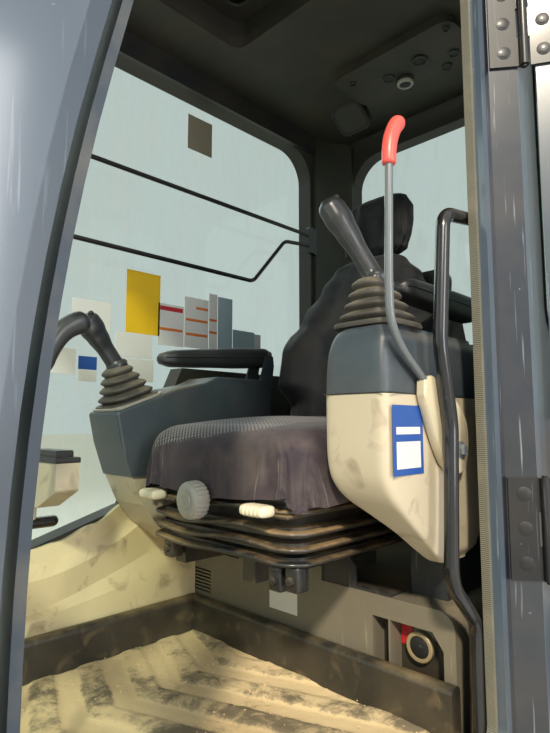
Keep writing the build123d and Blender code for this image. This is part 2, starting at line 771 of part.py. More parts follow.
# Left console: a dark upper housing with sloped shoulders on a cream lower one
console_profile = [(console_inner_x, console_split_z), (console_outer_x, console_split_z),
                   (console_outer_x - 2, console_top_z - 30), (console_outer_x - 12, console_top_z),
                   (console_inner_x + 34, console_top_z), (console_inner_x + 20, console_top_z - 20)]
with BuildPart() as left_console_upper:
    with BuildSketch(back(console_rear_y)):
        add(polygon(console_profile))
    extrude(amount=console_rear_y - console_front_y)
    fillet(left_console_upper.edges().filter_by(Axis.Y).filter_by(
        lambda e: e.center().Z > console_split_z + 10), 9)
    fillet(left_console_upper.faces().sort_by(Axis.Y)[0].edges().filter_by(
        lambda e: e.center().Z > console_split_z + 10), 8)
save(left_console_upper, "left_console_upper")

with BuildPart() as left_console_lower:
    with BuildSketch(side(console_inner_x)):
        add(polygon([(console_front_y, console_split_z), (console_front_y, 552), (-112, 536), (20, 425),
                     (console_rear_y, 425), (console_rear_y, console_split_z)]))
    extrude(amount=console_outer_x - console_inner_x)
    with BuildSketch(side(console_outer_x - 48)):
        add(polygon([(console_front_y, console_split_z), (console_front_y, 520), (-116, 490),
                     (30, 376), (190, 376), (190, console_split_z)]))
    extrude(amount=48)
save(left_console_lower, "left_console_lower")

# Right console: its leg leans forward from the pedestal, and its rear carries a raised cover
leg_width = right_console_inner_x - right_console_outer_x
right_armrest_x = right_console_inner_x - 6 - armrest_width
right_pivot = (262, 814)
console_foot_split = 505
right_top_front = (-234, 656)
right_slope_length = 172
right_top_rear = (right_top_front[0] + right_slope_length,
                  right_top_front[1] + right_slope_length * tan(radians(right_boot_tilt)))
with BuildPart() as right_console_upper:
    with BuildSketch(side(right_console_outer_x)):
        add(polygon([(-190, console_foot_split), (-218, 584), right_top_front, right_top_rear, (30, 738),
                     (70, 756), (230, 756), (270, 726), (270, console_foot_split)]))
    extrude(amount=leg_width)
    fillet(right_console_upper.edges().filter_by(Axis.X).filter_by(lambda e: e.center().Z > 650), 10)
    fillet(right_console_upper.edges().filter_by(lambda e: e.center().Z > 700).filter_by(
        lambda e: abs(e.center().X - right_console_inner_x) < 0.1).filter_by(
        lambda e: abs(e.tangent_at(0.5).Z) < 0.4), 6)
    for x in (right_armrest_x - 6, right_armrest_x + armrest_width + 1):
        with BuildSketch(side(x)):
            add(polygon([(222, 750), (268, 722), (280, 800), (276, 828), (248, 828), (238, 800)]))
        extrude(amount=5)
    with BuildSketch(side(right_armrest_x - 6)):
        with Locations(right_pivot):
            Circle(7)
    extrude(amount=armrest_width + 12)
save(right_console_upper, "right_console_upper")

with BuildPart() as right_console_lower:
    with BuildSketch(side(right_console_outer_x + 5)):
        add(polygon([(-188, console_foot_split), (270, console_foot_split), (270, pedestal_top_z),
                     (60, pedestal_top_z), (-50, 336), (-111, 382), (-155, 437)]))
    extrude(amount=leg_width - 10)
save(right_console_lower, "right_console_lower")

# Square bellows boots on flanges, and joysticks that lean forwards and in towards the seat
def boot_plane(x, y, tilt, up=0):
    """Plane across a boot at this height over the console's top, which leans forward by tilt."""
    on_slope = console_top_z if tilt == 0 else right_top_front[1] + (y - right_top_front[0]) * tan(
        radians(tilt))
    return Plane(origin=(x, y - sin(radians(tilt)) * up, on_slope + cos(radians(tilt)) * up),
                 x_dir=(1, 0, 0), z_dir=(0, -sin(radians(tilt)), cos(radians(tilt))))


left_boot = (304, -40, 0)
right_boot = (-350, -166, right_boot_tilt)
with BuildPart() as joystick_boots:
    for x, y, tilt in (left_boot, right_boot):
        with BuildSketch(boot_plane(x, y, tilt)):
            RectangleRounded(boot_flange, boot_flange, 14)
        extrude(amount=boot_flange_height)
        fold = (boot_height - boot_flange_height) / boot_folds
        for i in range(boot_folds):
            across = boot_base - (boot_base - boot_top) * i / (boot_folds - 1)
            up = boot_flange_height + fold * i
            with BuildSketch(boot_plane(x, y, tilt, up)):
                RectangleRounded(across - 22, across - 22, (across - 22) * 0.3)
            extrude(amount=fold * 0.45)
            with BuildSketch(boot_plane(x, y, tilt, up + fold * 0.45)):
                RectangleRounded(across, across, across * 0.32)
            extrude(amount=fold * 0.55)
save(joystick_boots, "joystick_boots")

collar_radius = 21
collar_height = 16
left_head = (246, -96, 1030)
right_head = (-345, -280, 868)
with BuildPart() as joysticks:
    for (x, y, tilt), head in ((left_boot, left_head), (right_boot, right_head)):
        collar = boot_plane(x, y, tilt, boot_height)
        with BuildSketch(collar):
            Circle(collar_radius)
        extrude(amount=collar_height)
        start = collar.from_local_coords(Vector(0, 0, collar_height - 4))
        grip_axis = (Vector(*head) - start).normalized()
        grip_length = (Vector(*head) - start).length
        for share, narrow, wide in ((0, 14, 17), (0.55, 17, 21), (1, 22, 26)):
            with BuildSketch(Plane(origin=start + grip_axis * grip_length * share, x_dir=(1, 0, 0),
                                   z_dir=grip_axis)):
                Ellipse(narrow, wide)
        loft()
        with Locations(start + grip_axis * grip_length):
            Sphere(23)
save(joysticks, "joysticks")

# Lock lever: an arm pivoted on the outside of the console, a bent rod and a grip
lever_x = console_outer_x + 12
lever_rod_radius = 7
lever_route = [(lever_x, -14, 688), (lever_x, -138, 782), (lever_x, -129, 1060)]
with BuildPart() as lock_lever:
    with BuildSketch(side(console_outer_x + 3)):
        add(polygon([(-46, 704), (-10, 714), (100, 648), (106, 562), (84, 540), (20, 556), (-40, 664)], 8))
    extrude(amount=18)
    with BuildSketch(side(console_outer_x)):
        with Locations((74, 582)):
            Circle(16)
    extrude(amount=20)
    with BuildLine() as lever_path:
        FilletPolyline(*lever_route, radius=46)
    with BuildSketch(Plane(lever_path.line @ 0, z_dir=lever_path.line % 0)):
        Circle(lever_rod_radius)
    sweep(path=lever_path.line)
    with BuildLine() as grip_path:
        FilletPolyline((lever_x, -129, 1056), (lever_x, -127, 1098), (lever_x, -90, 1140), radius=60)
    with BuildSketch(Plane(grip_path.line @ 0, z_dir=grip_path.line % 0)):
        Circle(13)
    sweep(path=grip_path.line)
    with Locations(grip_path.line @ 1):
        Sphere(13)
save(lock_lever, "lock_lever")

# Handrail: a bent tube from the side frame down to the floor
handrail_y = 114
handrail_z = 1020
handrail_route = [(inner_half, handrail_y, handrail_z), (handrail_x, handrail_y, handrail_z),
                  (handrail_x, 2, 1002), (handrail_x, -24, 766), (handrail_x, 6, 628),
                  (handrail_x, -10, 366), (handrail_x, 76, 284), (handrail_x, 66, floor_top + 4)]
with BuildPart() as handrail:
    with BuildLine() as rail_path:
        FilletPolyline(*handrail_route, radius=[18, 36, 120, 120, 60, 40])
    with BuildSketch(Plane(rail_path.line @ 0, z_dir=rail_path.line % 0)):
        Circle(handrail_radius)
    sweep()
    with BuildSketch(side(inner_half - 5)):
        with Locations((handrail_y, handrail_z)):
            Circle(22)
    extrude(amount=5)
save(handrail, "handrail")

# Guard bars inside the right window, on a bracket at the rear column
guard_front_y = -640
guard_high = 1318
guard_low = 1094
with BuildPart() as window_guards:
    for route, radii in (([(guard_x, guard_front_y + 60, guard_high), (guard_x, 620, guard_high)], None),
                         ([(guard_x, guard_front_y, guard_low), (guard_x, 325, guard_low),
                           (guard_x, 476, guard_high - 52), (guard_x, 620, guard_high - 36)], [40, 50])):
        with BuildLine() as guard_path:
            if radii:
                FilletPolyline(*route, radius=radii)
            else:
                Polyline(*route)
        with BuildSketch(Plane(guard_path.line @ 0, z_dir=guard_path.line % 0)):
            Circle(guard_radius)
        sweep()
    with BuildSketch(side(guard_x - 10)):
        add(box_outline(600, 640, guard_high - 64, guard_high + 32, 8))
    extrude(amount=16)
    for y, z in ((guard_front_y + 66, guard_high), (guard_front_y + 6, guard_low)):
        with BuildSketch(side(-inner_half)):
            with Locations((y, z)):
                Circle(11)
        extrude(amount=guard_x + inner_half + 6)
    with BuildSketch(side(-inner_half)):
        add(box_outline(right_window_rear + 2, frame_rear - column_depth, guard_high - 64, guard_high + 32))
    extrude(amount=guard_x + inner_half)
save(window_guards, "window_guards")

# Travel levers with their pedals, in front of the seat
lever_pairs = (-110, 70)
with BuildPart() as travel_levers:
    for x in lever_pairs:
        with BuildLine() as stalk:
            FilletPolyline((x, -600, floor_top + 30), (x, -640, 420), (x, -580, 660), (x, -508, 786),
                           radius=[120, 60])
        with BuildSketch(Plane(stalk.line @ 0, z_dir=stalk.line % 0)):
            Circle(8)
        sweep()
        with Locations(stalk.line @ 1):
            Sphere(21)
        with BuildSketch(side(x - 45)):
            add(polygon([(-660, 190), (-666, 182), (-520, 88), (-500, 88), (-500, 98), (-514, 98)]))
        extrude(amount=90)
        with BuildSketch(side(x - 22)):
            add(box_outline(-630, -560, floor_top, floor_top + 62, 6))
        extrude(amount=44)
save(travel_levers, "travel_levers")

# Monitor low at the right window, on an arm from the front post: its screen faces the seat
monitor_rear_y = -334
monitor_front_y = monitor_rear_y - 50
monitor_top_z = 553
monitor_arm_x = -inner_half + 40
monitor_arm_z = 408
with BuildPart() as monitor:
    with BuildSketch(back(monitor_rear_y)):
        add(polygon([(-252, monitor_top_z), (-252, 489), (-345, 448), (-426, 484), (-426, monitor_top_z)], 8))
    extrude(amount=monitor_rear_y - monitor_front_y)
    with BuildSketch(back(monitor_rear_y)):
        add(box_outline(-412, -266, 496, monitor_top_z - 10, 6))
    extrude(amount=2, mode=Mode.SUBTRACT)
    with BuildSketch(back(monitor_rear_y + 2)):
        add(box_outline(-428, -250, monitor_top_z - 6, monitor_top_z + 6, 4))
    extrude(amount=monitor_rear_y - monitor_front_y + 4)
    with BuildSketch(back(monitor_rear_y - 6)):
        add(box_outline(-400, -268, monitor_top_z, monitor_top_z + 20, 5))
    extrude(amount=38)
    with BuildSketch(Plane.XY.offset(monitor_arm_z)):
        with Locations((monitor_arm_x, monitor_front_y + 14)):
            Circle(10)
    extrude(amount=90)
    with BuildLine() as arm:
        FilletPolyline((-inner_half, -770, monitor_arm_z), (monitor_arm_x, -770, monitor_arm_z),
                       (monitor_arm_x, monitor_rear_y + 12, monitor_arm_z), radius=26)
    with BuildSketch(Plane(arm.line @ 0, z_dir=arm.line % 0)):
        Circle(13)
    sweep()
    with Locations(arm.line @ 1):
        Sphere(13)
save(monitor, "monitor")

# Wiper on the frame of the upper windscreen, its arm and blade along the glass
wiper_x = -inner_half + 60
with BuildPart() as wiper:
    with BuildSketch(back(front_y + 30)):
        with Locations((wiper_x + 6, windscreen_split + 22)):
            Circle(16)
    extrude(amount=28)
    for inset, depth, low, high in ((-2, 6, 655, 1180), (4, 13.5, 740, 1240)):
        with BuildSketch(side(wiper_x)):
            add(side_outline(inset, low, high, -300, 1, 1))
            add(side_outline(inset + depth, low - 5, high + 5, -200, 1, 1), mode=Mode.SUBTRACT)
        extrude(amount=12)
    add(windscreen_frame.part, mode=Mode.SUBTRACT)
save(wiper, "wiper")

# Seat base on the slides: four rims with bellows between them, and the recliner brackets
recline_half = max(cushion_width / 2 + 3, back_width / 2 + 10)
with BuildPart() as seat_base:
    for level in rim_levels:
        with BuildSketch(Plane.XY.offset(level)):
            add(box_outline(base_left, base_right, base_front_y, base_front_y + base_depth, 46))
        extrude(amount=rim_height)
    with BuildSketch(Plane.XY.offset(rim_levels[-1] + rim_height)):
        add(box_outline(base_left + 12, base_right - 12, base_front_y + 8,
                        base_front_y + base_depth + 60, 30))
    extrude(amount=cushion_low_z - soft_gap - rim_levels[-1] - rim_height)
    for x in (slide_right_x, slide_left_x):
        with BuildSketch(back(base_front_y + base_depth)):
            add(box_outline(x - 18, x + 18, pedestal_top_z + slide_height + soft_gap, rim_levels[0]))
        extrude(amount=base_depth - 40)
    for sign in (-1, 1):
        outer = seat_x + sign * (recline_half + 6)
        with BuildSketch(side(min(outer, outer - sign * 6))):
            add(polygon([(recline_y - 60, cushion_low_z - 26), (recline_y - 22, recline_z),
                         (recline_y, recline_z + 24), (recline_y + 22, recline_z),
                         (recline_y + 22, cushion_low_z - 26)], 8))
        extrude(amount=6)
        with BuildSketch(side(min(outer, outer - sign * 16))):
            with Locations((recline_y, recline_z)):
                Circle(8)
        extrude(amount=16)
    with BuildSketch(Plane.XY.offset(cushion_low_z - 26)):
        add(box_outline(seat_x - recline_half - 6, seat_x + recline_half + 6,
                        base_front_y + base_depth + 40, recline_y + 22))
    extrude(amount=20)
save(seat_base, "seat_base")

with BuildPart() as seat_bellows:
    for low, high in zip(rim_levels[:-1], rim_levels[1:]):
        with BuildSketch(Plane.XY.offset(low + rim_height)):
            add(box_outline(base_left + bellows_inset, base_right - bellows_inset,
                            base_front_y + bellows_inset, base_front_y + base_depth - bellows_inset, 40))
        extrude(amount=high - low - rim_height)
save(seat_bellows, "seat_bellows")

# Ribbed weight knob and the two lever grips below the cushion's front
knob_place = (-32, 478)
with BuildPart() as seat_adjusters:
    with BuildSketch(back(base_front_y + 8)):
        with Locations(knob_place):
            Circle(12)
    extrude(amount=base_front_y - seat_front_y + 16)
    with BuildSketch(back(seat_front_y - 8)):
        with Locations(knob_place):
            Circle(36)
            with PolarLocations(37, 24):
                Circle(2.6)
    extrude(amount=34)
    for x in (-196, 140):
        with BuildSketch(Plane.XY.offset(468)):
            add(box_outline(x - 9, x + 9, base_front_y - 20, base_front_y + 30))
        extrude(amount=10)
        with BuildSketch(Plane.XY.offset(463)):
            add(box_outline(x - 32, x + 32, base_front_y - 58, base_front_y - 18, 14))
        extrude(amount=22)
    add(seat_base.part, mode=Mode.SUBTRACT)
save(seat_adjusters, "seat_adjusters")

# Seat cushion, backrest and headrest
with BuildPart() as seat_cushion:
    with BuildSketch(Plane.XY.offset(cushion_low_z)):
        add(box_outline(seat_x - cushion_width / 2, seat_x + cushion_width / 2, seat_front_y,
                        seat_front_y + cushion_length, 60))
    extrude(amount=cushion_thickness)
    fillet(seat_cushion.faces().sort_by(Axis.Z)[-1].edges(), 34)
save(seat_cushion, "seat_cushion")

lean_cos = cos(radians(back_lean))
lean_sin = sin(radians(back_lean))


def back_plane(up, depth=0):
    """Plane across the leaning backrest, this far up it, its y running to the rear."""
    return Plane(
        origin=(seat_x, back_foot_y + lean_sin * up + lean_cos * depth,
                back_low_z + lean_cos * up - lean_sin * depth),
        x_dir=(1, 0, 0), z_dir=(0, lean_sin, lean_cos))


def back_front(depth):
    """Plane parallel to the backrest's front, this far behind it, sketch y running up it."""
    return Plane(origin=back_plane(0, depth).origin, x_dir=(1, 0, 0), z_dir=(0, -lean_cos, lean_sin))


with BuildPart() as seat_backrest:
    with BuildSketch(back_front(back_thickness)):
        with BuildLine():
            FilletPolyline((-back_width / 2 + 16, 0), (-back_width / 2, back_length * 0.52),
                           (-back_width / 2 + 96, back_length * 0.88), (-back_width / 2 + 170, back_length),
                           (back_width / 2 - 170, back_length), (back_width / 2 - 96, back_length * 0.88),
                           (back_width / 2, back_length * 0.52), (back_width / 2 - 16, 0),
                           radius=[30, 120, 60, 60, 60, 60, 120, 30], close=True)
        make_face()
    extrude(amount=back_thickness)
    fillet(seat_backrest.faces().sort_by(Axis.Y)[0].edges(), 22)
    for x in (-back_width / 2 + 8, back_width / 2 - 78):
        with BuildSketch(back_front(30)):
            add(box_outline(x, x + 70, 96, back_length * 0.52, 30))
        extrude(amount=30 + bolster_depth)
    fillet(seat_backrest.faces().sort_by(Axis.Y)[:2].edges(), 18)
save(seat_backrest, "seat_backrest")

with BuildPart() as headrest:
    with BuildSketch(back_front(headrest_thickness + headrest_setback)):
        add(box_outline(-headrest_width / 2, headrest_width / 2, back_length + headrest_gap,
                        back_length + headrest_gap + headrest_height, 46))
    extrude(amount=headrest_thickness)
    fillet(headrest.faces().sort_by(Axis.Y)[0].edges(), 26)
    with BuildSketch(back_plane(back_length, headrest_setback + headrest_thickness / 2)):
        for x in (-50, 50):
            with Locations((x, 0)):
                Circle(6)
    extrude(amount=headrest_gap)
save(headrest, "headrest")

# Frame of the backrest: a shell behind it, and side plates to the recliner and the left armrest
armrest_pivot_y = 412
armrest_pivot_z = 904
with BuildPart() as back_frame:
    for sign, top in ((-1, 760), (1, armrest_pivot_z + 16)):
        outer = seat_x + sign * (recline_half - 2)
        with BuildSketch(side(min(outer, outer - sign * 6))):
            add(polygon([(recline_y - 18, recline_z - 16), (recline_y + 20, recline_z - 16),
                         (recline_y + 98, recline_z + 60), (recline_y + 112, top - 120),
                         (recline_y + 66, top), (recline_y + 30, top)], 6))
            with Locations((recline_y, recline_z)):
                Circle(8 + hinge_running_gap, mode=Mode.SUBTRACT)
        extrude(amount=6)
    with BuildSketch(back_front(back_thickness + 14)):
        add(box_outline(-recline_half + 2, recline_half - 2, 40, 130))
        add(box_outline(-back_width / 2 + 30, back_width / 2 - 30, 40, back_length - 50, 40))
    extrude(amount=14)
    with BuildSketch(side(seat_x + recline_half - 2)):
        with Locations((armrest_pivot_y, armrest_pivot_z)):
            Circle(7)
    extrude(amount=armrest_width + 12)
    with BuildSketch(side(seat_x + recline_half + armrest_width + 6)):
        with Locations((armrest_pivot_y, armrest_pivot_z)):
            Circle(13)
    extrude(amount=6)
save(back_frame, "back_frame")

# Armrests: the right one tilts on a post of the right console, the left one on the backrest
with BuildPart() as armrest_right:
    with BuildSketch(side(right_armrest_x)):
        add(polygon([(-104, 776), (-90, 763), (286, 786), (298, 800), (298, 846), (284, 858),
                     (-90, 812), (-104, 800)], 6))
        with Locations(right_pivot):
            Circle(7 + hinge_running_gap, mode=Mode.SUBTRACT)
    extrude(amount=armrest_width)
save(armrest_right, "armrest_right")

left_armrest_x = seat_x + recline_half + 4
with BuildPart() as armrest_left:
    with BuildSketch(side(left_armrest_x)):
        add(polygon([(80, 892), (90, 882), (396, 872), (430, 888), (430, 928), (404, 938),
                     (96, 940), (80, 926)], 7))
        with Locations((armrest_pivot_y, armrest_pivot_z)):
            Circle(7 + hinge_running_gap, mode=Mode.SUBTRACT)
    extrude(amount=armrest_width)
save(armrest_left, "armrest_left")
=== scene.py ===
# Operator's cab of a crawler excavator, dressed piece by piece in the order it is put together.
# Everything is in metres in the cab's own frame: the front looks along -Y, the door is on the
# +X side and the underside of the floor frame is at z = 0.
import math
import random

import bmesh
import bpy
from mathutils import Matrix, Vector, noise


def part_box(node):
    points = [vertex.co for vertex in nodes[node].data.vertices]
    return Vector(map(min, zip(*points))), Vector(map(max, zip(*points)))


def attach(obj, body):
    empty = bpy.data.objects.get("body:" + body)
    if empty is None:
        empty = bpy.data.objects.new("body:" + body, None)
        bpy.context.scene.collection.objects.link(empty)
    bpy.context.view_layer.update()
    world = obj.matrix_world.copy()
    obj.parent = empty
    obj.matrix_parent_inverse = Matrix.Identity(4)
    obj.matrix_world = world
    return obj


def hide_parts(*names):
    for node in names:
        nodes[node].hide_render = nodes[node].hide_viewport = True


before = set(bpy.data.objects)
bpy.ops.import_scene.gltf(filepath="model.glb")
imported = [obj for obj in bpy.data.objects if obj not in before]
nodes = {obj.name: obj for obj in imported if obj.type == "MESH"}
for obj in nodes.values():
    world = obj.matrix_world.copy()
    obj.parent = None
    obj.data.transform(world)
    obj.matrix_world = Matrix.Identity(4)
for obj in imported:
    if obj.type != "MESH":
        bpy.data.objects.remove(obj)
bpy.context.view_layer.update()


# Shell: side frames, roof, rear wall, front frame, door and hatch rim are pressed and welded
# steel, sprayed in one coat of gloss alkyd paint. Years of boots and grit leave a dull film
# low down, fine scratches along the posts and small chips down to the grey primer.
def linear(hex_colour):
    """The sRGB hex colour as the linear colour that a shader wants."""
    parts = [int(hex_colour[i:i + 2], 16) / 255 for i in (1, 3, 5)]
    return [p / 12.92 if p <= 0.04045 else ((p + 0.055) / 1.055) ** 2.4 for p in parts] + [1.0]


def blank(name):
    """An empty material with its output node."""
    made = bpy.data.materials.new(name)
    made.use_nodes = True
    made.node_tree.nodes.clear()
    return made


def node(made, kind, values=None, links=None, **settings):
    """Adds one node to the material, sets its values and links its inputs."""
    new = made.node_tree.nodes.new(kind)
    for key, value in settings.items():
        setattr(new, key, value)
    for key, value in (values or {}).items():
        new.inputs[key].default_value = value
    for key, source in (links or {}).items():
        made.node_tree.links.new(source, new.inputs[key])
    return new


def sprayed_steel(name, paint, worn, dust="#b9a27c", dirt=0.5, rough=0.28, coat=0.5, scratch=1.0,
                  lined=False, painted_shade_post=None):
    """Alkyd paint on pressed steel: gloss over a faint orange peel, chipped and dusty.
    For the shell's inner panels, faces that look into the cab are dark brown: painted shade over the
    cream trim, with the dark rubber round the windows. The post argument is the Y range and the
    outermost X of a post whose paint is darkened to near black as painted shade."""
    made = blank(name)
    place = node(made, "ShaderNodeTexCoord").outputs["Object"]
    cloud = node(made, "ShaderNodeTexNoise", {"Scale": 5.0, "Detail": 6.0, "Roughness": 0.62},
                 {"Vector": place})
    along = node(made, "ShaderNodeMapping", {"Scale": (160.0, 160.0, 7.0)}, {"Vector": place})
    lines = node(made, "ShaderNodeTexNoise", {"Scale": 1.0, "Detail": 2.0},
                 {"Vector": along.outputs["Vector"]})
    scored = node(made, "ShaderNodeMapRange",
                  {"From Min": 0.66, "From Max": 0.75, "To Max": 0.55 * scratch},
                  {"Value": lines.outputs["Fac"]})
    flakes = node(made, "ShaderNodeTexNoise", {"Scale": 46.0, "Detail": 3.0, "Roughness": 0.5},
                  {"Vector": place})
    chipped = node(made, "ShaderNodeMapRange",
                   {"From Min": 0.74, "From Max": 0.77, "To Max": 0.9 * scratch},
                   {"Value": flakes.outputs["Fac"]})
    facing = node(made, "ShaderNodeSeparateXYZ",
                  links={"Vector": node(made, "ShaderNodeNewGeometry").outputs["Normal"]})
    upward = node(made, "ShaderNodeMapRange",
                  {"From Min": 0.1, "From Max": 0.9, "To Min": 0.12, "To Max": 1.0},
                  {"Value": facing.outputs["Z"]})
    film = node(made, "ShaderNodeMapRange", {"From Min": 0.42, "From Max": 0.7, "To Max": dirt},
                {"Value": cloud.outputs["Fac"]})
    dusty = node(made, "ShaderNodeMath", links={0: film.outputs[0], 1: upward.outputs[0]},
                 operation="MULTIPLY")
    ground = node(made, "ShaderNodeRGB")
    ground.outputs[0].default_value = linear(paint)
    ground = ground.outputs[0]
    # Painted shade: the back post of the doorway has the same slate paint, darkened here to near black.
    if painted_shade_post:
        start, end, outermost = painted_shade_post
        split = node(made, "ShaderNodeSeparateXYZ", links={"Vector": place})
        past = node(made, "ShaderNodeMath", {1: start}, {0: split.outputs["Y"]}, operation="GREATER_THAN")
        short = node(made, "ShaderNodeMath", {1: end}, {0: split.outputs["Y"]}, operation="LESS_THAN")
        within = node(made, "ShaderNodeMath", {1: outermost}, {0: split.outputs["X"]},
                      operation="LESS_THAN")
        both = node(made, "ShaderNodeMath", links={0: past.outputs[0], 1: short.outputs[0]},
                    operation="MULTIPLY")
        in_painted_shade_post = node(made, "ShaderNodeMath", links={0: both.outputs[0], 1: within.outputs[0]},
                         operation="MULTIPLY")
        ground = node(made, "ShaderNodeMix", {7: linear("#151d27")},
                      {0: in_painted_shade_post.outputs[0], 6: ground}, data_type="RGBA").outputs[2]
    lines_on = node(made, "ShaderNodeMix", {7: linear(worn)}, {0: scored.outputs[0], 6: ground},
                    data_type="RGBA")
    chips_on = node(made, "ShaderNodeMix", {7: linear(worn)},
                    {0: chipped.outputs[0], 6: lines_on.outputs[2]}, data_type="RGBA")
    dust_on = node(made, "ShaderNodeMix", {7: linear(dust)},
                   {0: dusty.outputs[0], 6: chips_on.outputs[2]}, data_type="RGBA")
    dulled = node(made, "ShaderNodeMapRange", {"To Min": rough, "To Max": 0.85},
                  {"Value": dusty.outputs[0]})
    peel = node(made, "ShaderNodeTexNoise", {"Scale": 420.0, "Detail": 1.0}, {"Vector": place})
    relief = node(made, "ShaderNodeBump", {"Strength": 0.04, "Distance": 0.0006},
                  {"Height": peel.outputs["Fac"]})
    coat_of_paint = node(made, "ShaderNodeBsdfPrincipled",
                         {"IOR": 1.5, "Coat Weight": coat, "Coat Roughness": 0.12},
                         {"Base Color": dust_on.outputs[2], "Roughness": dulled.outputs[0],
                          "Normal": relief.outputs["Normal"]})
    seen = coat_of_paint.outputs["BSDF"]
    # Faces that look into the cab turn dark brown: painted shade over the cream trim, and the dark rubber
    # round the window openings.
    if lined:
        from_middle = node(made, "ShaderNodeVectorMath", {1: cab_middle}, {0: place},
                           operation="SUBTRACT")
        outwards = node(made, "ShaderNodeVectorMath", links={0: from_middle.outputs[0],
                        1: node(made, "ShaderNodeNewGeometry").outputs["Normal"]},
                        operation="DOT_PRODUCT")
        inside = node(made, "ShaderNodeMath", {1: 0.0}, {0: outwards.outputs["Value"]},
                      operation="LESS_THAN")
        lining = node(made, "ShaderNodeBsdfPrincipled",
                      {"Base Color": linear("#2c2a24"), "Roughness": 0.6})
        seen = node(made, "ShaderNodeMixShader", links={0: inside.outputs[0], 1: seen,
                    2: lining.outputs["BSDF"]}).outputs["Shader"]
    node(made, "ShaderNodeOutputMaterial", links={"Surface": seen})
    return made


def wear(made, *names):
    """Gives the material to these nodes of the frame."""
    for name in names:
        slots = nodes[name].material_slots
        for slot in slots:
            slot.link = "OBJECT"
            slot.material = made
        if not slots:
            nodes[name].data.materials.append(made)


cab_middle = (0.0, 0.0, 0.95)
paint_colour = "#455361"
worn_colour = "#8f9aa3"
half_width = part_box("left_side_frame")[1][0]
# Between these Y values the back post is painted near black as painted shade.
wear(sprayed_steel("slate grey gloss alkyd", paint_colour, worn_colour, dirt=0.35, coat=1.0,
                   painted_shade_post=(0.1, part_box("pillar_hinges")[1][1], half_width - 0.0005)),
     "left_side_frame")
# The door has the cab's slate paint; this darker copy of it is painted shade.
wear(sprayed_steel("slate grey gloss alkyd, door in painted shade", "#39444e", worn_colour, dirt=0.3, coat=1.0),
     "door_frame")
# Inside faces of these panels are dark brown, painted shade over the cream trim.
wear(sprayed_steel("slate alkyd, inside in painted shade", paint_colour, worn_colour, dirt=0.4, coat=1.0,
                   lined=True), "right_side_frame", "rear_wall", "roof_panel", "front_frame", "roof_hatch")
wear(sprayed_steel("satin black chassis paint", "#2a2c2e", "#6d655a", dirt=0.8, rough=0.5, coat=0.1),
     "floor_frame", "console_stand")


# Glass: float glass panes, bonded or held in rubber. Dust has dried on them in a thin uneven
# film, which shows as a pale haze. Light goes straight through, so a pane stays thin to the eye.
def dusty_glass(name, tint, haze, film="#d8d2c2"):
    """Float glass with a pale film of dried dust, which is lit from both sides."""
    made = blank(name)
    place = node(made, "ShaderNodeTexCoord").outputs["Object"]
    streak = node(made, "ShaderNodeMapping", {"Scale": (9.0, 9.0, 2.5)}, {"Vector": place})
    cloud = node(made, "ShaderNodeTexNoise", {"Scale": 1.0, "Detail": 7.0, "Roughness": 0.6},
                 {"Vector": streak.outputs["Vector"]})
    amount = node(made, "ShaderNodeMapRange", {"From Min": 0.4, "From Max": 0.75, "To Max": haze},
                  {"Value": cloud.outputs["Fac"]})
    through = node(made, "ShaderNodeBsdfTransparent", {"Color": linear(tint)})
    shine = node(made, "ShaderNodeBsdfGlossy", {"Roughness": 0.03})
    front = node(made, "ShaderNodeBsdfDiffuse", {"Color": linear(film)})
    back = node(made, "ShaderNodeBsdfTranslucent", {"Color": linear(film)})
    film_coat = node(made, "ShaderNodeMixShader", {0: 0.6}, {1: front.outputs["BSDF"],
                     2: back.outputs["BSDF"]})
    facing = node(made, "ShaderNodeLayerWeight", {"Blend": 0.5}).outputs["Facing"]
    steep = node(made, "ShaderNodeMath", {1: 5.0}, {0: facing}, operation="POWER")
    edge = node(made, "ShaderNodeMapRange", {"To Min": 0.04, "To Max": 0.9}, {"Value": steep.outputs[0]})
    clear = node(made, "ShaderNodeMixShader", links={0: edge.outputs[0],
                 1: through.outputs["BSDF"], 2: shine.outputs["BSDF"]})
    dirty = node(made, "ShaderNodeMixShader", links={0: amount.outputs[0],
                 1: clear.outputs["Shader"], 2: film_coat.outputs["Shader"]})
    node(made, "ShaderNodeOutputMaterial", links={"Surface": dirty.outputs["Shader"]})
    return made


wear(dusty_glass("dusty float glass", "#e4ece8", 0.12), "windscreens", "fixed_windows", "door_panes")
wear(dusty_glass("smoked polycarbonate", "#4a4943", 0.2), "hatch_glass")


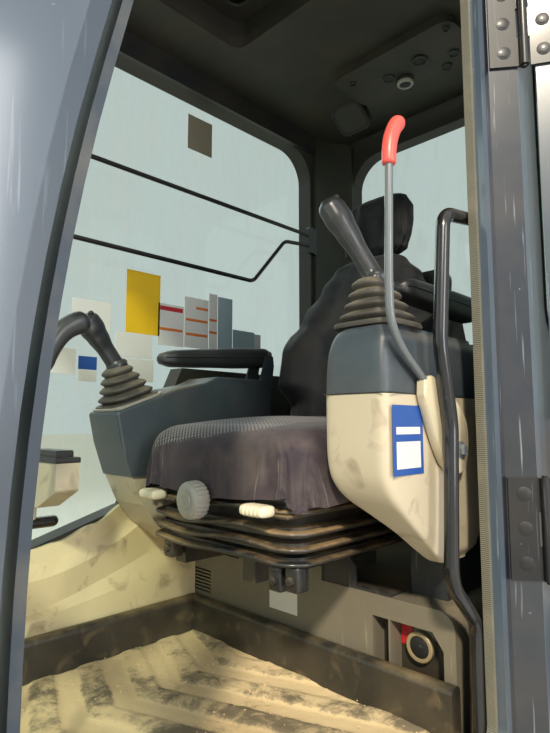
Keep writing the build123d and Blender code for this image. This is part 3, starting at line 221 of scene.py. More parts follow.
# Moulded plastic: console covers, trim and the overhead panel are textured ABS and
# polypropylene, injection moulded. The tool's leather-like grain breaks up the shine, and
# brown dust settles on every upward face and in the grain.
def moulded_plastic(name, colour, faded, grain=0.0011, dust="#a8906a", dirt=0.6, rough=0.5,
                    depth=0.00025, stains=0.0):
    """Grained thermoplastic with dust on its upper faces and faint stains."""
    made = blank(name)
    place = node(made, "ShaderNodeTexCoord").outputs["Object"]
    cloud = node(made, "ShaderNodeTexNoise", {"Scale": 7.0, "Detail": 8.0, "Roughness": 0.65},
                 {"Vector": place})
    pebble = node(made, "ShaderNodeTexVoronoi", {"Scale": 1.0 / grain}, {"Vector": place})
    facing = node(made, "ShaderNodeSeparateXYZ",
                  links={"Vector": node(made, "ShaderNodeNewGeometry").outputs["Normal"]})
    upward = node(made, "ShaderNodeMapRange",
                  {"From Min": 0.15, "From Max": 0.95, "To Min": 0.15, "To Max": 1.0},
                  {"Value": facing.outputs["Z"]})
    film = node(made, "ShaderNodeMapRange", {"From Min": 0.4, "From Max": 0.68, "To Max": dirt},
                {"Value": cloud.outputs["Fac"]})
    dusty = node(made, "ShaderNodeMath", links={0: film.outputs[0], 1: upward.outputs[0]},
                 operation="MULTIPLY")
    blotch = node(made, "ShaderNodeTexNoise", {"Scale": 19.0, "Detail": 5.0, "Distortion": 0.6},
                  {"Vector": place})
    stained = node(made, "ShaderNodeMapRange",
                   {"From Min": 0.56, "From Max": 0.72, "To Max": stains},
                   {"Value": blotch.outputs["Fac"]})
    tone = node(made, "ShaderNodeMix", {6: linear(colour), 7: linear(faded)},
                {0: cloud.outputs["Fac"]}, data_type="RGBA")
    stain_on = node(made, "ShaderNodeMix", {7: linear("#7d6c52")},
                    {0: stained.outputs[0], 6: tone.outputs[2]}, data_type="RGBA")
    dust_on = node(made, "ShaderNodeMix", {7: linear(dust)},
                   {0: dusty.outputs[0], 6: stain_on.outputs[2]}, data_type="RGBA")
    dulled = node(made, "ShaderNodeMapRange", {"To Min": rough, "To Max": 0.9},
                  {"Value": dusty.outputs[0]})
    relief = node(made, "ShaderNodeBump", {"Strength": 0.5, "Distance": depth},
                  {"Height": pebble.outputs["Distance"]})
    surface = node(made, "ShaderNodeBsdfPrincipled", {"IOR": 1.53},
                   {"Base Color": dust_on.outputs[2], "Roughness": dulled.outputs[0],
                    "Normal": relief.outputs["Normal"]})
    node(made, "ShaderNodeOutputMaterial", links={"Surface": surface.outputs["BSDF"]})
    return made


slate_abs = moulded_plastic("slate grained ABS", "#2f3840", "#434d54", dirt=0.4, rough=0.4)
cream_abs = moulded_plastic("cream grained ABS", "#b9ad93", "#c9bfa8", dirt=0.45, rough=0.45,
                            stains=0.55, dust="#9c8158")
trim_cream = moulded_plastic("cream polypropylene side trim", "#d8c797", "#e4d7ad", dirt=0.8,
                             stains=0.6, dust="#b08f5c")
black_abs = moulded_plastic("black grained ABS", "#17191b", "#242628", dirt=0.35, rough=0.4)
# The headliner and the rear columns are cream mouldings in the cab's shade; this dark brown is painted
# shade, and the overhead panel shares it.
headliner_abs_in_painted_shade = moulded_plastic("cream headliner ABS in painted shade", "#25241c", "#33312a", grain=0.0016, dirt=0.3,
                            rough=0.6)
wear(slate_abs, "left_console_upper", "right_console_upper", "rear_deck")
wear(cream_abs, "left_console_lower", "right_console_lower")
wear(trim_cream, "side_trim")
wear(black_abs, "windscreen_frame", "window_bands", "wiper", "door_handles")
wear(headliner_abs_in_painted_shade, "ceiling_lining", "rear_columns", "overhead_console")


def add_piece(name, mesh, finish, body, stands_for=(), angle=35):
    """Shows a mesh as a piece in that finish that rides on a body of the frame."""
    mesh.materials.append(finish)
    mesh.shade_smooth()
    mesh.set_sharp_from_angle(angle=math.radians(angle))
    made = bpy.data.objects.new(name, mesh)
    bpy.context.scene.collection.objects.link(made)
    if stands_for:
        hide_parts(*stands_for)
    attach(made, body)
    return made


def closed_mesh(shape, name):
    """The mesh of a bmesh, with its faces turned outwards."""
    bmesh.ops.recalc_face_normals(shape, faces=shape.faces[:])
    mesh = bpy.data.meshes.new(name)
    shape.to_mesh(mesh)
    shape.free()
    return mesh


def skin(shape, rings):
    """Adds a closed skin through rings of as many points each, capped at both ends."""
    rows = [[shape.verts.new(point) for point in ring] for ring in rings]
    count = len(rows[0])
    for lower, upper in zip(rows[:-1], rows[1:]):
        for i in range(count):
            shape.faces.new((lower[i], lower[(i + 1) % count], upper[(i + 1) % count], upper[i]))
    shape.faces.new(rows[0])
    shape.faces.new(rows[-1])


def ring(place, across, up, half_across, half_up, power=2.0, count=32):
    """Points of an outline about place: power 2 is an ellipse and a higher power is squarer."""
    made = []
    for i in range(count):
        c = math.cos(2 * math.pi * i / count)
        s = math.sin(2 * math.pi * i / count)
        made.append(place + across * half_across * math.copysign(abs(c) ** (2 / power), c)
                    + up * half_up * math.copysign(abs(s) ** (2 / power), s))
    return made


def eased(stops, share):
    """The value at share between (share, value) stops, with smooth turns at them."""
    for (start, before), (end, after) in zip(stops[:-1], stops[1:]):
        if share <= end:
            part = max(0.0, (share - start) / (end - start))
            part = part * part * (3 - 2 * part)
            return before + (after - before) * part
    return stops[-1][1]


def rounded_box(shape, low, high, radius, steps=3, turn=None, pivot=None):
    """Adds a box between two corners with rounded edges, turned about pivot."""
    made = bmesh.ops.create_cube(shape, size=1.0)["verts"]
    size = Vector(high) - Vector(low)
    middle = (Vector(high) + Vector(low)) / 2
    for corner in made:
        corner.co = Vector([corner.co[i] * size[i] for i in range(3)]) + middle
    edges = list({edge for corner in made for edge in corner.link_edges})
    bevelled = bmesh.ops.bevel(shape, geom=edges, offset=radius, segments=steps, affect="EDGES",
                               profile=0.5)
    if turn is not None:
        about = Matrix.Translation(pivot or middle) @ turn @ Matrix.Translation(-(pivot or middle))
        corners = {v for face in bevelled["faces"] for v in face.verts}
        bmesh.ops.transform(shape, matrix=about, verts=list(corners))


def spun(shape, place, axis, profile, count=32, lobes=0, depth=0.0):
    """Adds a turned solid: profile lists (along, radius), and lobes press ribs into its side."""
    axis = Vector(axis).normalized()
    across = axis.orthogonal().normalized()
    up = axis.cross(across)
    rings = []
    for along, radius in profile:
        points = []
        for i in range(count):
            turn = 2 * math.pi * i / count
            out = radius - (depth if lobes and (i * lobes * 2 // count) % 2 and radius > depth * 3 else 0)
            points.append(Vector(place) + axis * along + across * out * math.cos(turn)
                          + up * out * math.sin(turn))
        rings.append(points)
    skin(shape, rings)


def swept(shape, route, radius, count=14, flat=0):
    """Adds a bar along a route of points; radius is a number or a function of the share, and
    flat makes a band that keeps level, this many times as wide as it is high."""
    forward = [(route[min(i + 1, len(route) - 1)] - route[max(i - 1, 0)]).normalized()
               for i in range(len(route))]
    across = forward[0].orthogonal().normalized()
    rings = []
    for i, place in enumerate(route):
        across = (across - forward[i] * across.dot(forward[i])).normalized()
        wide = radius(i / (len(route) - 1)) if callable(radius) else radius
        if flat:
            across = forward[i].cross(Vector((0, 0, 1))).normalized()
            rings.append(ring(place, across, forward[i].cross(across), wide * flat, wide, 3, count))
        else:
            rings.append(ring(place, across, forward[i].cross(across), wide, wide, count=count))
    skin(shape, rings)


def bend(points, steps=8):
    """A smooth route through the points, by Catmull and Rom's rule."""
    points = [Vector(p) for p in points]
    ends = [points[0] * 2 - points[1]] + points + [points[-1] * 2 - points[-2]]
    route = []
    for i in range(1, len(ends) - 2):
        a, b, c, d = ends[i - 1:i + 3]
        for step in range(steps):
            t = step / steps
            route.append(((b * 2) + (c - a) * t + (a * 2 - b * 5 + c * 4 - d) * t * t
                          + (b * 3 - a - c * 3 + d) * t ** 3) / 2)
    return route + [points[-1]]


# Seat cloth: the covers are polyester. The borders are a smooth purple grey satin weave, worn
# soft, the middle of the cushion is grey tweed, and the backrest's cover is near black.
def seat_cloth(name, colour, faded, sheen=0.5, tweed=None, thread=0.0011, dirt=0.25):
    """Woven cloth with a soft sheen; tweed gives the far and near X of a grey woven panel and
    the heights of its seam there."""
    made = blank(name)
    place = node(made, "ShaderNodeTexCoord").outputs["Object"]
    cloud = node(made, "ShaderNodeTexNoise", {"Scale": 9.0, "Detail": 7.0, "Roughness": 0.6},
                 {"Vector": place})
    film = node(made, "ShaderNodeMapRange", {"From Min": 0.45, "From Max": 0.72, "To Max": dirt},
                {"Value": cloud.outputs["Fac"]})
    tone = node(made, "ShaderNodeMix", {6: linear(colour), 7: linear(faded)},
                {0: cloud.outputs["Fac"]}, data_type="RGBA")
    threads = node(made, "ShaderNodeTexVoronoi", {"Scale": 1 / thread}, {"Vector": place})
    height = threads.outputs["Distance"]
    colour_out = tone.outputs[2]
    if tweed:
        x_far, x_near, z_far, z_near = tweed
        split = node(made, "ShaderNodeSeparateXYZ", links={"Vector": place})
        seam = node(made, "ShaderNodeMapRange", {"From Min": x_far, "From Max": x_near,
                    "To Min": z_far, "To Max": z_near}, {"Value": split.outputs["X"]})
        sway = node(made, "ShaderNodeMapRange", {"To Min": -0.014, "To Max": 0.014},
                    {"Value": cloud.outputs["Fac"]})
        level = node(made, "ShaderNodeMath", links={0: split.outputs["Z"], 1: sway.outputs[0]},
                     operation="ADD")
        above = node(made, "ShaderNodeMath", links={0: level.outputs[0], 1: seam.outputs[0]},
                     operation="GREATER_THAN")
        short_of = node(made, "ShaderNodeMath", {1: x_near}, {0: split.outputs["X"]},
                        operation="LESS_THAN")
        inside = node(made, "ShaderNodeMath", links={0: above.outputs[0], 1: short_of.outputs[0]},
                      operation="MULTIPLY")
        turned = node(made, "ShaderNodeMapping", {"Rotation": (0.0, 0.0, 0.7)}, {"Vector": place})
        strands = [node(made, "ShaderNodeTexWave", {"Scale": 46.0, "Distortion": 0.6,
                        "Detail": 1.0}, {"Vector": turned.outputs["Vector"]},
                        bands_direction=way).outputs["Fac"] for way in ("X", "Y")]
        crossed = node(made, "ShaderNodeMath", links={0: strands[0], 1: strands[1]},
                       operation="MULTIPLY")
        fleck = node(made, "ShaderNodeMapRange", {"From Min": 0.1, "From Max": 0.6},
                     {"Value": crossed.outputs[0]})
        tweed_tone = node(made, "ShaderNodeMix", {6: linear("#232127"), 7: linear("#8c868a")},
                          {0: fleck.outputs[0]}, data_type="RGBA")
        colour_out = node(made, "ShaderNodeMix", links={0: inside.outputs[0], 6: colour_out,
                          7: tweed_tone.outputs[2]}, data_type="RGBA").outputs[2]
        height = node(made, "ShaderNodeMix", links={0: inside.outputs[0], 2: height,
                      3: crossed.outputs[0]}).outputs[0]
    dust_on = node(made, "ShaderNodeMix", {7: linear("#8f8272")},
                   {0: film.outputs[0], 6: colour_out}, data_type="RGBA")
    relief = node(made, "ShaderNodeBump", {"Strength": 0.45, "Distance": 0.0007}, {"Height": height})
    skin_of_cloth = node(made, "ShaderNodeBsdfPrincipled",
                         {"Roughness": 0.7, "Specular IOR Level": 0.3, "Sheen Weight": sheen,
                          "Sheen Roughness": 0.4},
                         {"Base Color": dust_on.outputs[2], "Normal": relief.outputs["Normal"]})
    node(made, "ShaderNodeOutputMaterial", links={"Surface": skin_of_cloth.outputs["BSDF"]})
    return made


# Seat cushion: a moulded foam block on the suspension, with a loose cover laid over it. The
# cover is tucked in below the backrest and hangs over the front and sides in soft folds.
cushion_low, cushion_high = (Vector(corner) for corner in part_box("seat_cushion"))
foam_inset = 0.008
foam_edge = 0.05
foam_crown = 0.02
foam_power = 7.0


def foam_rings(low, high):
    """Rings of a block with round upper edges and a crowned top, from its foot to its middle."""
    middle = (low + high) / 2
    half = (high - low) / 2
    shoulder = high.z - foam_crown
    steps = [(low.z, 0.012), (low.z + 0.012, 0.0), (shoulder - foam_edge, 0.0)]
    for i in range(1, 7):
        turn = math.pi / 2 * i / 6
        steps.append((shoulder - foam_edge * (1 - math.sin(turn)), foam_edge * (1 - math.cos(turn))))
    rings = [ring(Vector((middle.x, middle.y, z)), Vector((1, 0, 0)), Vector((0, 1, 0)),
                  half.x - inset, half.y - inset, foam_power, 72) for z, inset in steps]
    for i in range(1, 12):
        keep = 1 - i / 12
        rings.append(ring(Vector((middle.x, middle.y, shoulder + foam_crown * (1 - keep ** 2))),
                          Vector((1, 0, 0)), Vector((0, 1, 0)), (half.x - foam_edge) * keep,
                          (half.y - foam_edge) * keep, 2 + (foam_power - 2) * keep, 72))
    return rings


foam_shape = bmesh.new()
gap = Vector((foam_inset, foam_inset, foam_inset))
skin(foam_shape, foam_rings(cushion_low + gap - Vector((0, 0, foam_inset)), cushion_high - gap))
satin = seat_cloth("purple grey satin cover", "#2a242a", "#40363f", sheen=0.3,
                   tweed=(cushion_low.x, cushion_high.x - 0.09, cushion_high.z - 0.082,
                          cushion_high.z - 0.022))
foam = add_piece("seat_cushion_foam", closed_mesh(foam_shape, "foam"), satin, "seat",
                 ["seat_cushion"], angle=80)

skirt = 0.122
cover_rows = 78
cover_columns = 100
cover_left = cushion_low.x - skirt
cover_width = cushion_high.x - cushion_low.x + 2 * skirt
cover_front = cushion_low.y - skirt
cover_length = cushion_high.y - 0.012 - cover_front
corner_cut = 0.17
cover_points = []
for row in range(cover_rows + 1):
    for column in range(cover_columns + 1):
        u = column / cover_columns * 2 - 1
        v = row / cover_rows * 2 - 1
        pull = 1 - corner_cut * (u * u * v * v if v < 0 else 0)
        cover_points.append((cover_left + cover_width * (u * pull + 1) / 2,
                             cover_front + cover_length * (v * pull + 1) / 2,
                             cushion_high.z - 0.001))
cover_faces = []
for row in range(cover_rows):
    for column in range(cover_columns):
        start = row * (cover_columns + 1) + column
        cover_faces.append((start, start + 1, start + cover_columns + 2, start + cover_columns + 1))
cover_mesh = bpy.data.meshes.new("cover")
cover_mesh.from_pydata(cover_points, [], cover_faces)


def hang(cover, under, frames=34):
    """Lets a cloth fall over what is under it, with its rear edge held, and keeps the result."""
    held = cover.vertex_groups.new(name="held")
    rear = cover_rows * (cover_columns + 1) - 2 * (cover_columns + 1)
    held.add(list(range(rear, len(cover.data.vertices))), 1.0, "REPLACE")
    under.modifiers.new("Collision", "COLLISION")
    under.collision.thickness_outer = 0.003
    under.collision.cloth_friction = 30
    fall = cover.modifiers.new("Cloth", "CLOTH")
    fall.settings.quality = 7
    fall.settings.mass = 0.25
    fall.settings.tension_stiffness = 18
    fall.settings.compression_stiffness = 18
    fall.settings.shear_stiffness = 6
    fall.settings.bending_stiffness = 0.25
    fall.settings.air_damping = 2
    fall.settings.vertex_group_mass = "held"
    fall.collision_settings.distance_min = 0.003
    fall.collision_settings.use_self_collision = True
    fall.collision_settings.self_distance_min = 0.002
    fall.point_cache.frame_end = frames
    for frame_number in range(1, frames + 1):
        bpy.context.scene.frame_set(frame_number)
    settled = bpy.data.meshes.new_from_object(
        cover.evaluated_get(bpy.context.evaluated_depsgraph_get()))
    cover.modifiers.clear()
    under.modifiers.clear()
    cover.vertex_groups.clear()
    cover.data = settled
    bpy.context.scene.frame_set(1)


cover = add_piece("seat_cushion_cover", cover_mesh, satin, "seat", angle=180)
hang(cover, foam)
cover.data.shade_smooth()
soft = cover.modifiers.new("Subdivision", "SUBSURF")
soft.levels = 1
soft.render_levels = 1


# Backrest: shaped foam in a loose near black cover, which puckers over the bolsters and gathers
# in long soft folds towards the shoulders. The headrest has a cover of its own.
back_lean = math.radians(8)
back_foot = Vector((-0.02, 0.280, 0.575))
back_long = 0.54
back_deep = 0.112
back_up = Vector((0, math.sin(back_lean), math.cos(back_lean)))
back_rearward = Vector((0, math.cos(back_lean), -math.sin(back_lean)))


def crumpled(point, out, scale, depth, seed):
    """A point of a cover moved along out by long folds; scale stretches them along an axis."""
    at = Vector((point.x * scale[0], point.y * scale[1], point.z * scale[2])) + Vector((seed, 0, 0))
    drift = noise.noise_vector(at * 0.6) * 0.7
    ridge = 1 - abs(noise.noise(at + drift))
    return point + out * (depth * (ridge ** 5 - 0.35) + depth * 0.35 * noise.noise(at * 3.1))


back_half_width = [(0.0, 0.19), (0.05, 0.236), (0.3, 0.247), (0.55, 0.246), (0.72, 0.212),
                   (0.86, 0.16), (0.96, 0.115), (1.0, 0.075)]
back_half_depth = [(0.0, 0.03), (0.05, 0.05), (0.5, 0.054), (0.85, 0.046), (0.96, 0.034), (1.0, 0.014)]
bolster_push = [(0.0, 0.0), (0.2, 0.006), (0.3, 0.064), (0.48, 0.06), (0.66, 0.016), (0.82, 0.0)]
back_rings = []
back_steps = 70
for step in range(back_steps + 1):
    share = step / back_steps
    wide = eased(back_half_width, share)
    deep = eased(back_half_depth, share)
    centre = back_foot + back_up * back_long * share + back_rearward * back_deep * 0.52
    points = []
    for point in ring(centre, Vector((1, 0, 0)), back_rearward, wide, deep, 3.2, 112):
        aside = abs(point.x - centre.x) / wide
        ahead = max(0.0, -(point - centre).dot(back_rearward) / deep)
        push = eased(bolster_push, share) * eased([(0.4, 0), (0.76, 1), (1.0, 1.0)], aside)
        point = point - back_rearward * push * min(1.0, 0.25 + ahead * 2.2)
        out = (point - centre).normalized()
        points.append(crumpled(point, out, (15, 15, 5.5), 0.006, 3.0))
    back_rings.append(points)
back_shape = bmesh.new()
skin(back_shape, back_rings)
navy = seat_cloth("near black backrest cover", "#05090e", "#0c1219", sheen=0.12, dirt=0.06)
backrest = add_piece("backrest_cover", closed_mesh(back_shape, "backrest"), navy, "backrest",
                     ["seat_backrest"], angle=180)

head_long = 0.19
head_foot = back_foot + back_up * (back_long + 0.008) + back_rearward * 0.08
head_half_width = [(0.0, 0.07), (0.1, 0.096), (0.35, 0.109), (0.75, 0.108), (0.93, 0.09), (1.0, 0.055)]
head_half_depth = [(0.0, 0.02), (0.12, 0.034), (0.5, 0.038), (0.85, 0.034), (1.0, 0.014)]
head_rings = []
head_steps = 44
for step in range(head_steps + 1):
    share = step / head_steps
    centre = head_foot + back_up * head_long * share
    pleat = eased([(0.0, 0.0055), (0.35, 0.003), (1.0, 0.001)], share)
    points = []
    for i, point in enumerate(ring(centre, Vector((1, 0, 0)), back_rearward,
                                   eased(head_half_width, share), eased(head_half_depth, share),
                                   3.0, 96)):
        out = (point - centre).normalized()
        point = point + out * pleat * math.sin(i / 96 * 2 * math.pi * 17 + 2 * share)
        points.append(crumpled(point, out, (22, 22, 9), 0.0045, 9.0))
    head_rings.append(points)
head_shape = bmesh.new()
skin(head_shape, head_rings)
headrest = add_piece("headrest_cover", closed_mesh(head_shape, "headrest"), navy, "backrest",
                     ["headrest"], angle=180)
posts_shape = bmesh.new()
for side in (-0.05, 0.05):
    foot = back_foot + Vector((side, 0, 0)) + back_up * (back_long - 0.02) + back_rearward * 0.08
    swept(posts_shape, [foot, foot + back_up * 0.04], 0.006)
add_piece("headrest_posts", closed_mesh(posts_shape, "posts"), black_abs, "backrest")
for padded_piece in (backrest, headrest):
    softened = padded_piece.modifiers.new("Subdivision", "SUBSURF")
    softened.levels = 1
    softened.render_levels = 1


# Armrests: a foam pad in black vinyl over a moulded pan, with a piped seam where they meet. The
# right one tilts on a post of the console, the left one on the backrest's frame.
vinyl = moulded_plastic("black vinyl armrest skin", "#1b1d1f", "#2b2d2f", grain=0.0009, dirt=0.3,
                        rough=0.38, dust="#77706a")


def armrest(name, node_name, body, rise):
    """A padded armrest inside the node's box; rise is how much higher its rear end sits."""
    low, high = (Vector(corner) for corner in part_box(node_name))
    half_width = (high.x - low.x) / 2 - 0.001
    length = high.y - low.y - 0.004
    half_high = (high.z - low.z - abs(rise)) / 2 - 0.001
    middle = Vector(((low.x + high.x) / 2, low.y + 0.002, (low.z + high.z) / 2))
    rings = []
    for step in range(41):
        share = step / 40
        end = min(share, 1 - share)
        tip = eased([(0.0, 0.3), (0.03, 0.72), (0.1, 1.0), (0.5, 1.0)], end)
        slim = eased([(0.0, 0.72), (0.35, 0.86), (0.7, 1.0), (1.0, 1.0)], share)
        place = middle + Vector((0, length * share, rise * (share - 0.5)))
        rings.append(ring(place, Vector((1, 0, 0)), Vector((0, 0, 1)), half_width * min(1, tip * 1.05),
                          half_high * tip * slim, 3.4, 40))
    shape = bmesh.new()
    skin(shape, rings)
    pad = add_piece(name, closed_mesh(shape, name), vinyl, body, [node_name], 180)
    seams = bmesh.new()
    for side in (0, 20):
        swept(seams, [r[side] + Vector((0, 0, 0.002)) for r in rings[1:-1]], 0.0022, 8)
    add_piece(name + "_piping", closed_mesh(seams, "piping"), vinyl, body)


armrest("armrest_right_pad", "armrest_right", "armrest_right", 0.034)
armrest("armrest_left_pad", "armrest_left", "armrest_left", -0.004)


# Boots: square rubber bellows on a flange, moulded with round folds that hold dust. Each one
# closes on a cup under the joystick's grip.
boot_rubber = moulded_plastic("dusty bellows rubber", "#35332f", "#4f4b43", dirt=1.0, rough=0.6,
                              dust="#9c917c", grain=0.0022, depth=0.0004)
boot_height = 0.094
console_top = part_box("left_console_upper")[1][2]
boot_foot = {"left": (Vector((0.304, -0.04, console_top)), 0.0),
             "right": (Vector((-0.35, -0.166, 0.6808)), math.radians(20))}
grip_head = {"left": Vector((0.246, -0.096, 1.03)), "right": Vector((-0.345, -0.28, 0.868))}
folds = 4


def boot_axes(tilt):
    """The across, rearward and upward directions of a boot that leans forward by tilt."""
    return (Vector((1, 0, 0)), Vector((0, math.cos(tilt), math.sin(tilt))),
            Vector((0, -math.sin(tilt), math.cos(tilt))))


for side_name, (foot, tilt) in boot_foot.items():
    across, rearward, up = boot_axes(tilt)
    shape = bmesh.new()
    stations = [(0.0, 0.066), (0.004, 0.068), (0.009, 0.066), (0.0095, 0.056)]
    steps = folds * 12
    for i in range(steps + 1):
        share = i / steps
        wave = 0.5 - 0.5 * math.cos(2 * math.pi * folds * share)
        wide = 0.050 - 0.026 * share + (0.0125 - 0.004 * share) * wave ** 0.6
        stations.append((0.012 + (boot_height - 0.012) * share, wide))
    lean = grip_head[side_name] - foot - up * boot_height
    lean -= up * lean.dot(up)
    rings = [ring(foot + up * rise + lean * 0.12 * (rise / boot_height) ** 2, across, rearward, wide,
                  wide, 4.2 - 1.9 * rise / boot_height, 56) for rise, wide in stations]
    skin(shape, rings)
    add_piece("boot_" + side_name, closed_mesh(shape, "boot"), boot_rubber, "cab",
              ["joystick_boots"] if side_name == "left" else [], 60)


# Joysticks: glass-filled nylon grips in two halves. A narrow waist widens into a broad egg-shaped
# head with a dark switch pad on its inner side and two buttons on its crown.
grip_nylon = moulded_plastic("satin grip nylon", "#1d1f21", "#33363a", grain=0.0014, dirt=0.35,
                             rough=0.32, dust="#8a857b", depth=0.00015)
dull_black = moulded_plastic("dull black rubber", "#0d0e0f", "#17181a", dirt=0.2, rough=0.6)
grip_width = [(0.0, 0.025), (0.07, 0.028), (0.16, 0.0195), (0.45, 0.0195), (0.72, 0.0245),
              (0.88, 0.0285), (1.0, 0.0275)]
for side_name, (foot, tilt) in boot_foot.items():
    across, rearward, up = boot_axes(tilt)
    base = foot + up * (boot_height - 0.006)
    head = grip_head[side_name]
    reach = head - base
    route = [base + up * reach.length * 0.3 * t + (reach - up * reach.length * 0.3) * t ** 1.15
             for t in [i / 30 for i in range(31)]]
    shape = bmesh.new()
    rings = []
    for i, place in enumerate(route):
        forward = (route[min(i + 1, 30)] - route[max(i - 1, 0)]).normalized()
        aside = forward.cross(Vector((0, 1, 0))).normalized()
        wide = eased(grip_width, i / 30)
        rings.append(ring(place, aside, forward.cross(aside), wide * 0.86, wide * 1.06, 2.3, 36))
    for i in range(1, 9):
        turn = math.pi / 2 * i / 9
        wide = grip_width[-1][1] * math.cos(turn)
        rings.append(ring(head + forward * 0.021 * math.sin(turn), aside, forward.cross(aside),
                          wide * 0.86, wide * 1.06, 2.3, 36))
    skin(shape, rings)
    add_piece("joystick_" + side_name, closed_mesh(shape, "joystick"), grip_nylon, "cab",
              ["joysticks"] if side_name == "left" else [], 50)
    seam = bmesh.new()
    swept(seam, [r[9] for r in rings[:-2]], 0.0011, 6)
    swept(seam, [r[27] for r in rings[:-2]], 0.0011, 6)
    spun(seam, head - aside * 0.012 + forward * 0.012 - forward.cross(aside) * 0.012,
         forward - aside * 0.4, [(-0.004, 0.006), (0.007, 0.006), (0.009, 0.004)], 20)
    spun(seam, head + aside * 0.006 + forward * 0.014 + forward.cross(aside) * 0.004,
         forward + aside * 0.2, [(-0.004, 0.005), (0.0065, 0.005), (0.0085, 0.0035)], 20)
    pad_foot = head - forward * 0.012 - aside * 0.0205
    skin(seam, [ring(pad_foot - aside * 0.003 * s, forward, forward.cross(aside), 0.0155 - 0.003 * s,
                     0.0105 - 0.003 * s, 2.4, 28) for s in (-0.6, 0.6, 1.0)])
    add_piece("joystick_buttons_" + side_name, closed_mesh(seam, "buttons"), dull_black, "cab")
    cup = bmesh.new()
    spun(cup, foot + up * (boot_height - 0.008), up,
         [(0.0, 0.023), (0.004, 0.0265), (0.016, 0.0255), (0.022, 0.0215), (0.0222, 0.018)], 36)
    add_piece("joystick_cup_" + side_name, closed_mesh(cup, "cup"), grip_nylon, "cab",
              angle=50)


# Lock lever: a cream painted arm on a pivot, a grey painted bent rod and a coral red vinyl grip
console_side = 0.38
lever_x = console_side + 0.012
lever_grey = sprayed_steel("grey lever paint", "#5f666b", "#92999d", dirt=0.25, rough=0.3)
lever_cream = sprayed_steel("cream lever paint", "#c9bea2", "#8f8672", dirt=0.5, rough=0.4, coat=0.2)
red_vinyl = moulded_plastic("coral red vinyl grip", "#ea4a42", "#f3685e", dirt=0.2, rough=0.35,
                            grain=0.002, depth=0.0001)
rod_shape = bmesh.new()
swept(rod_shape, bend([(lever_x, -0.014, 0.688), (lever_x, -0.05, 0.714), (lever_x, -0.1, 0.75),
                       (lever_x, -0.131, 0.792), (lever_x, -0.137, 0.85), (lever_x, -0.134, 0.95),
                       (lever_x, -0.129, 1.066)], 7), 0.007, 18)
add_piece("lock_lever_rod", closed_mesh(rod_shape, "rod"), lever_grey, "cab",
          ["lock_lever"], 60)
grip_shape = bmesh.new()
swept(grip_shape, bend([(lever_x, -0.129, 1.056), (lever_x, -0.128, 1.078), (lever_x, -0.122, 1.104),
                        (lever_x, -0.108, 1.13), (lever_x, -0.09, 1.148)], 8),
      lambda share: eased([(0.0, 0.0098), (0.04, 0.0118), (0.6, 0.0128), (0.86, 0.0136), (0.95, 0.011),
                           (1.0, 0.005)], share), 26)
add_piece("lock_lever_grip", closed_mesh(grip_shape, "grip"), red_vinyl, "cab",
          angle=60)
arm_shape = bmesh.new()
arm_outline = bend([(0, -0.046, 0.702), (0, -0.02, 0.712), (0, 0.02, 0.697), (0, 0.07, 0.668),
                    (0, 0.104, 0.63), (0, 0.107, 0.58), (0, 0.086, 0.543), (0, 0.05, 0.544),
                    (0, 0.018, 0.562), (0, -0.014, 0.61), (0, -0.04, 0.66), (0, -0.05, 0.686)], 4)
arm_middle = Vector((0, 0.03, 0.625))
skin(arm_shape, [[Vector((console_side + rise, 0, 0)) + arm_middle + (point - arm_middle) * scale
                  for point in arm_outline[:-1]] for rise, scale in
                 ((0.003, 0.97), (0.005, 1.0), (0.018, 1.0), (0.0205, 0.96))])
add_piece("lock_lever_arm", closed_mesh(arm_shape, "arm"), lever_cream, "cab",
          angle=40)
pivot_shape = bmesh.new()
spun(pivot_shape, (console_side + 0.018, 0.074, 0.582), (1, 0, 0),
     [(0.0, 0.017), (0.004, 0.017), (0.0045, 0.011), (0.010, 0.011), (0.0115, 0.009)], 6)
add_piece("lock_lever_pivot", closed_mesh(pivot_shape, "pivot"), lever_grey, "cab",
          angle=30)


# Suspension: pressed steel plates between rubber bellows, dusty on top, with rolled lips. The
# weight knob is a ribbed silver grey moulding and the lever grips are ribbed cream nylon.
seat_steel = sprayed_steel("black suspension paint", "#202122", "#6a6459", dirt=1.0, rough=0.4,
                           coat=0.3, dust="#c0a173")
wear(seat_steel, "seat_base", "back_frame")
base_low, base_high = (Vector(corner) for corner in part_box("seat_bellows"))
lip_reach = 0.026
lips = bmesh.new()
for level, wave in ((0.381, 0.004), (0.406, 0.006), (0.433, 0.006), (0.471, 0.003)):
    front = base_low.y - lip_reach
    near = base_high.x + lip_reach
    far = base_low.x - lip_reach
    route = [Vector((far, front + 0.3, level)), Vector((far, front + 0.06, level))]
    route += [Vector((far + 0.045 * (1 - math.cos(t)), front + 0.045 * (1 - math.sin(t)), level))
              for t in [math.pi / 2 * i / 8 for i in range(9)]]
    steps = 24
    for i in range(1, steps):
        share = i / steps
        route.append(Vector((far + 0.045 + (near - far - 0.09) * share,
                             front - 0.004 * math.sin(math.pi * share),
                             level - wave * math.sin(2 * math.pi * share))))
    route += [Vector((near - 0.045 * (1 - math.sin(t)), front + 0.045 * (1 - math.cos(t)), level))
              for t in [math.pi / 2 * i / 8 for i in range(9)]]
    route.append(Vector((near, front + 0.3, level)))
    swept(lips, route, 0.0048, 14, flat=3.2)
for x, z in ((base_high.x + 0.012, 0.352), (base_high.x - 0.03, 0.346), (base_low.x + 0.02, 0.352)):
    rounded_box(lips, (x - 0.016, base_low.y - 0.02, z - 0.02),
                (x + 0.016, base_low.y + 0.012, z + 0.026),
                0.005)
    spun(lips, (x, base_low.y - 0.02, z), (0, -1, 0), [(0, 0.0085), (0.006, 0.0085), (0.007, 0.006)], 6)
add_piece("suspension_lips", closed_mesh(lips, "lips"), seat_steel, "seat", angle=50)
wear(moulded_plastic("dusty bellows cloth", "#1c1a18", "#2f2b27", dirt=0.8, rough=0.8), "seat_bellows")

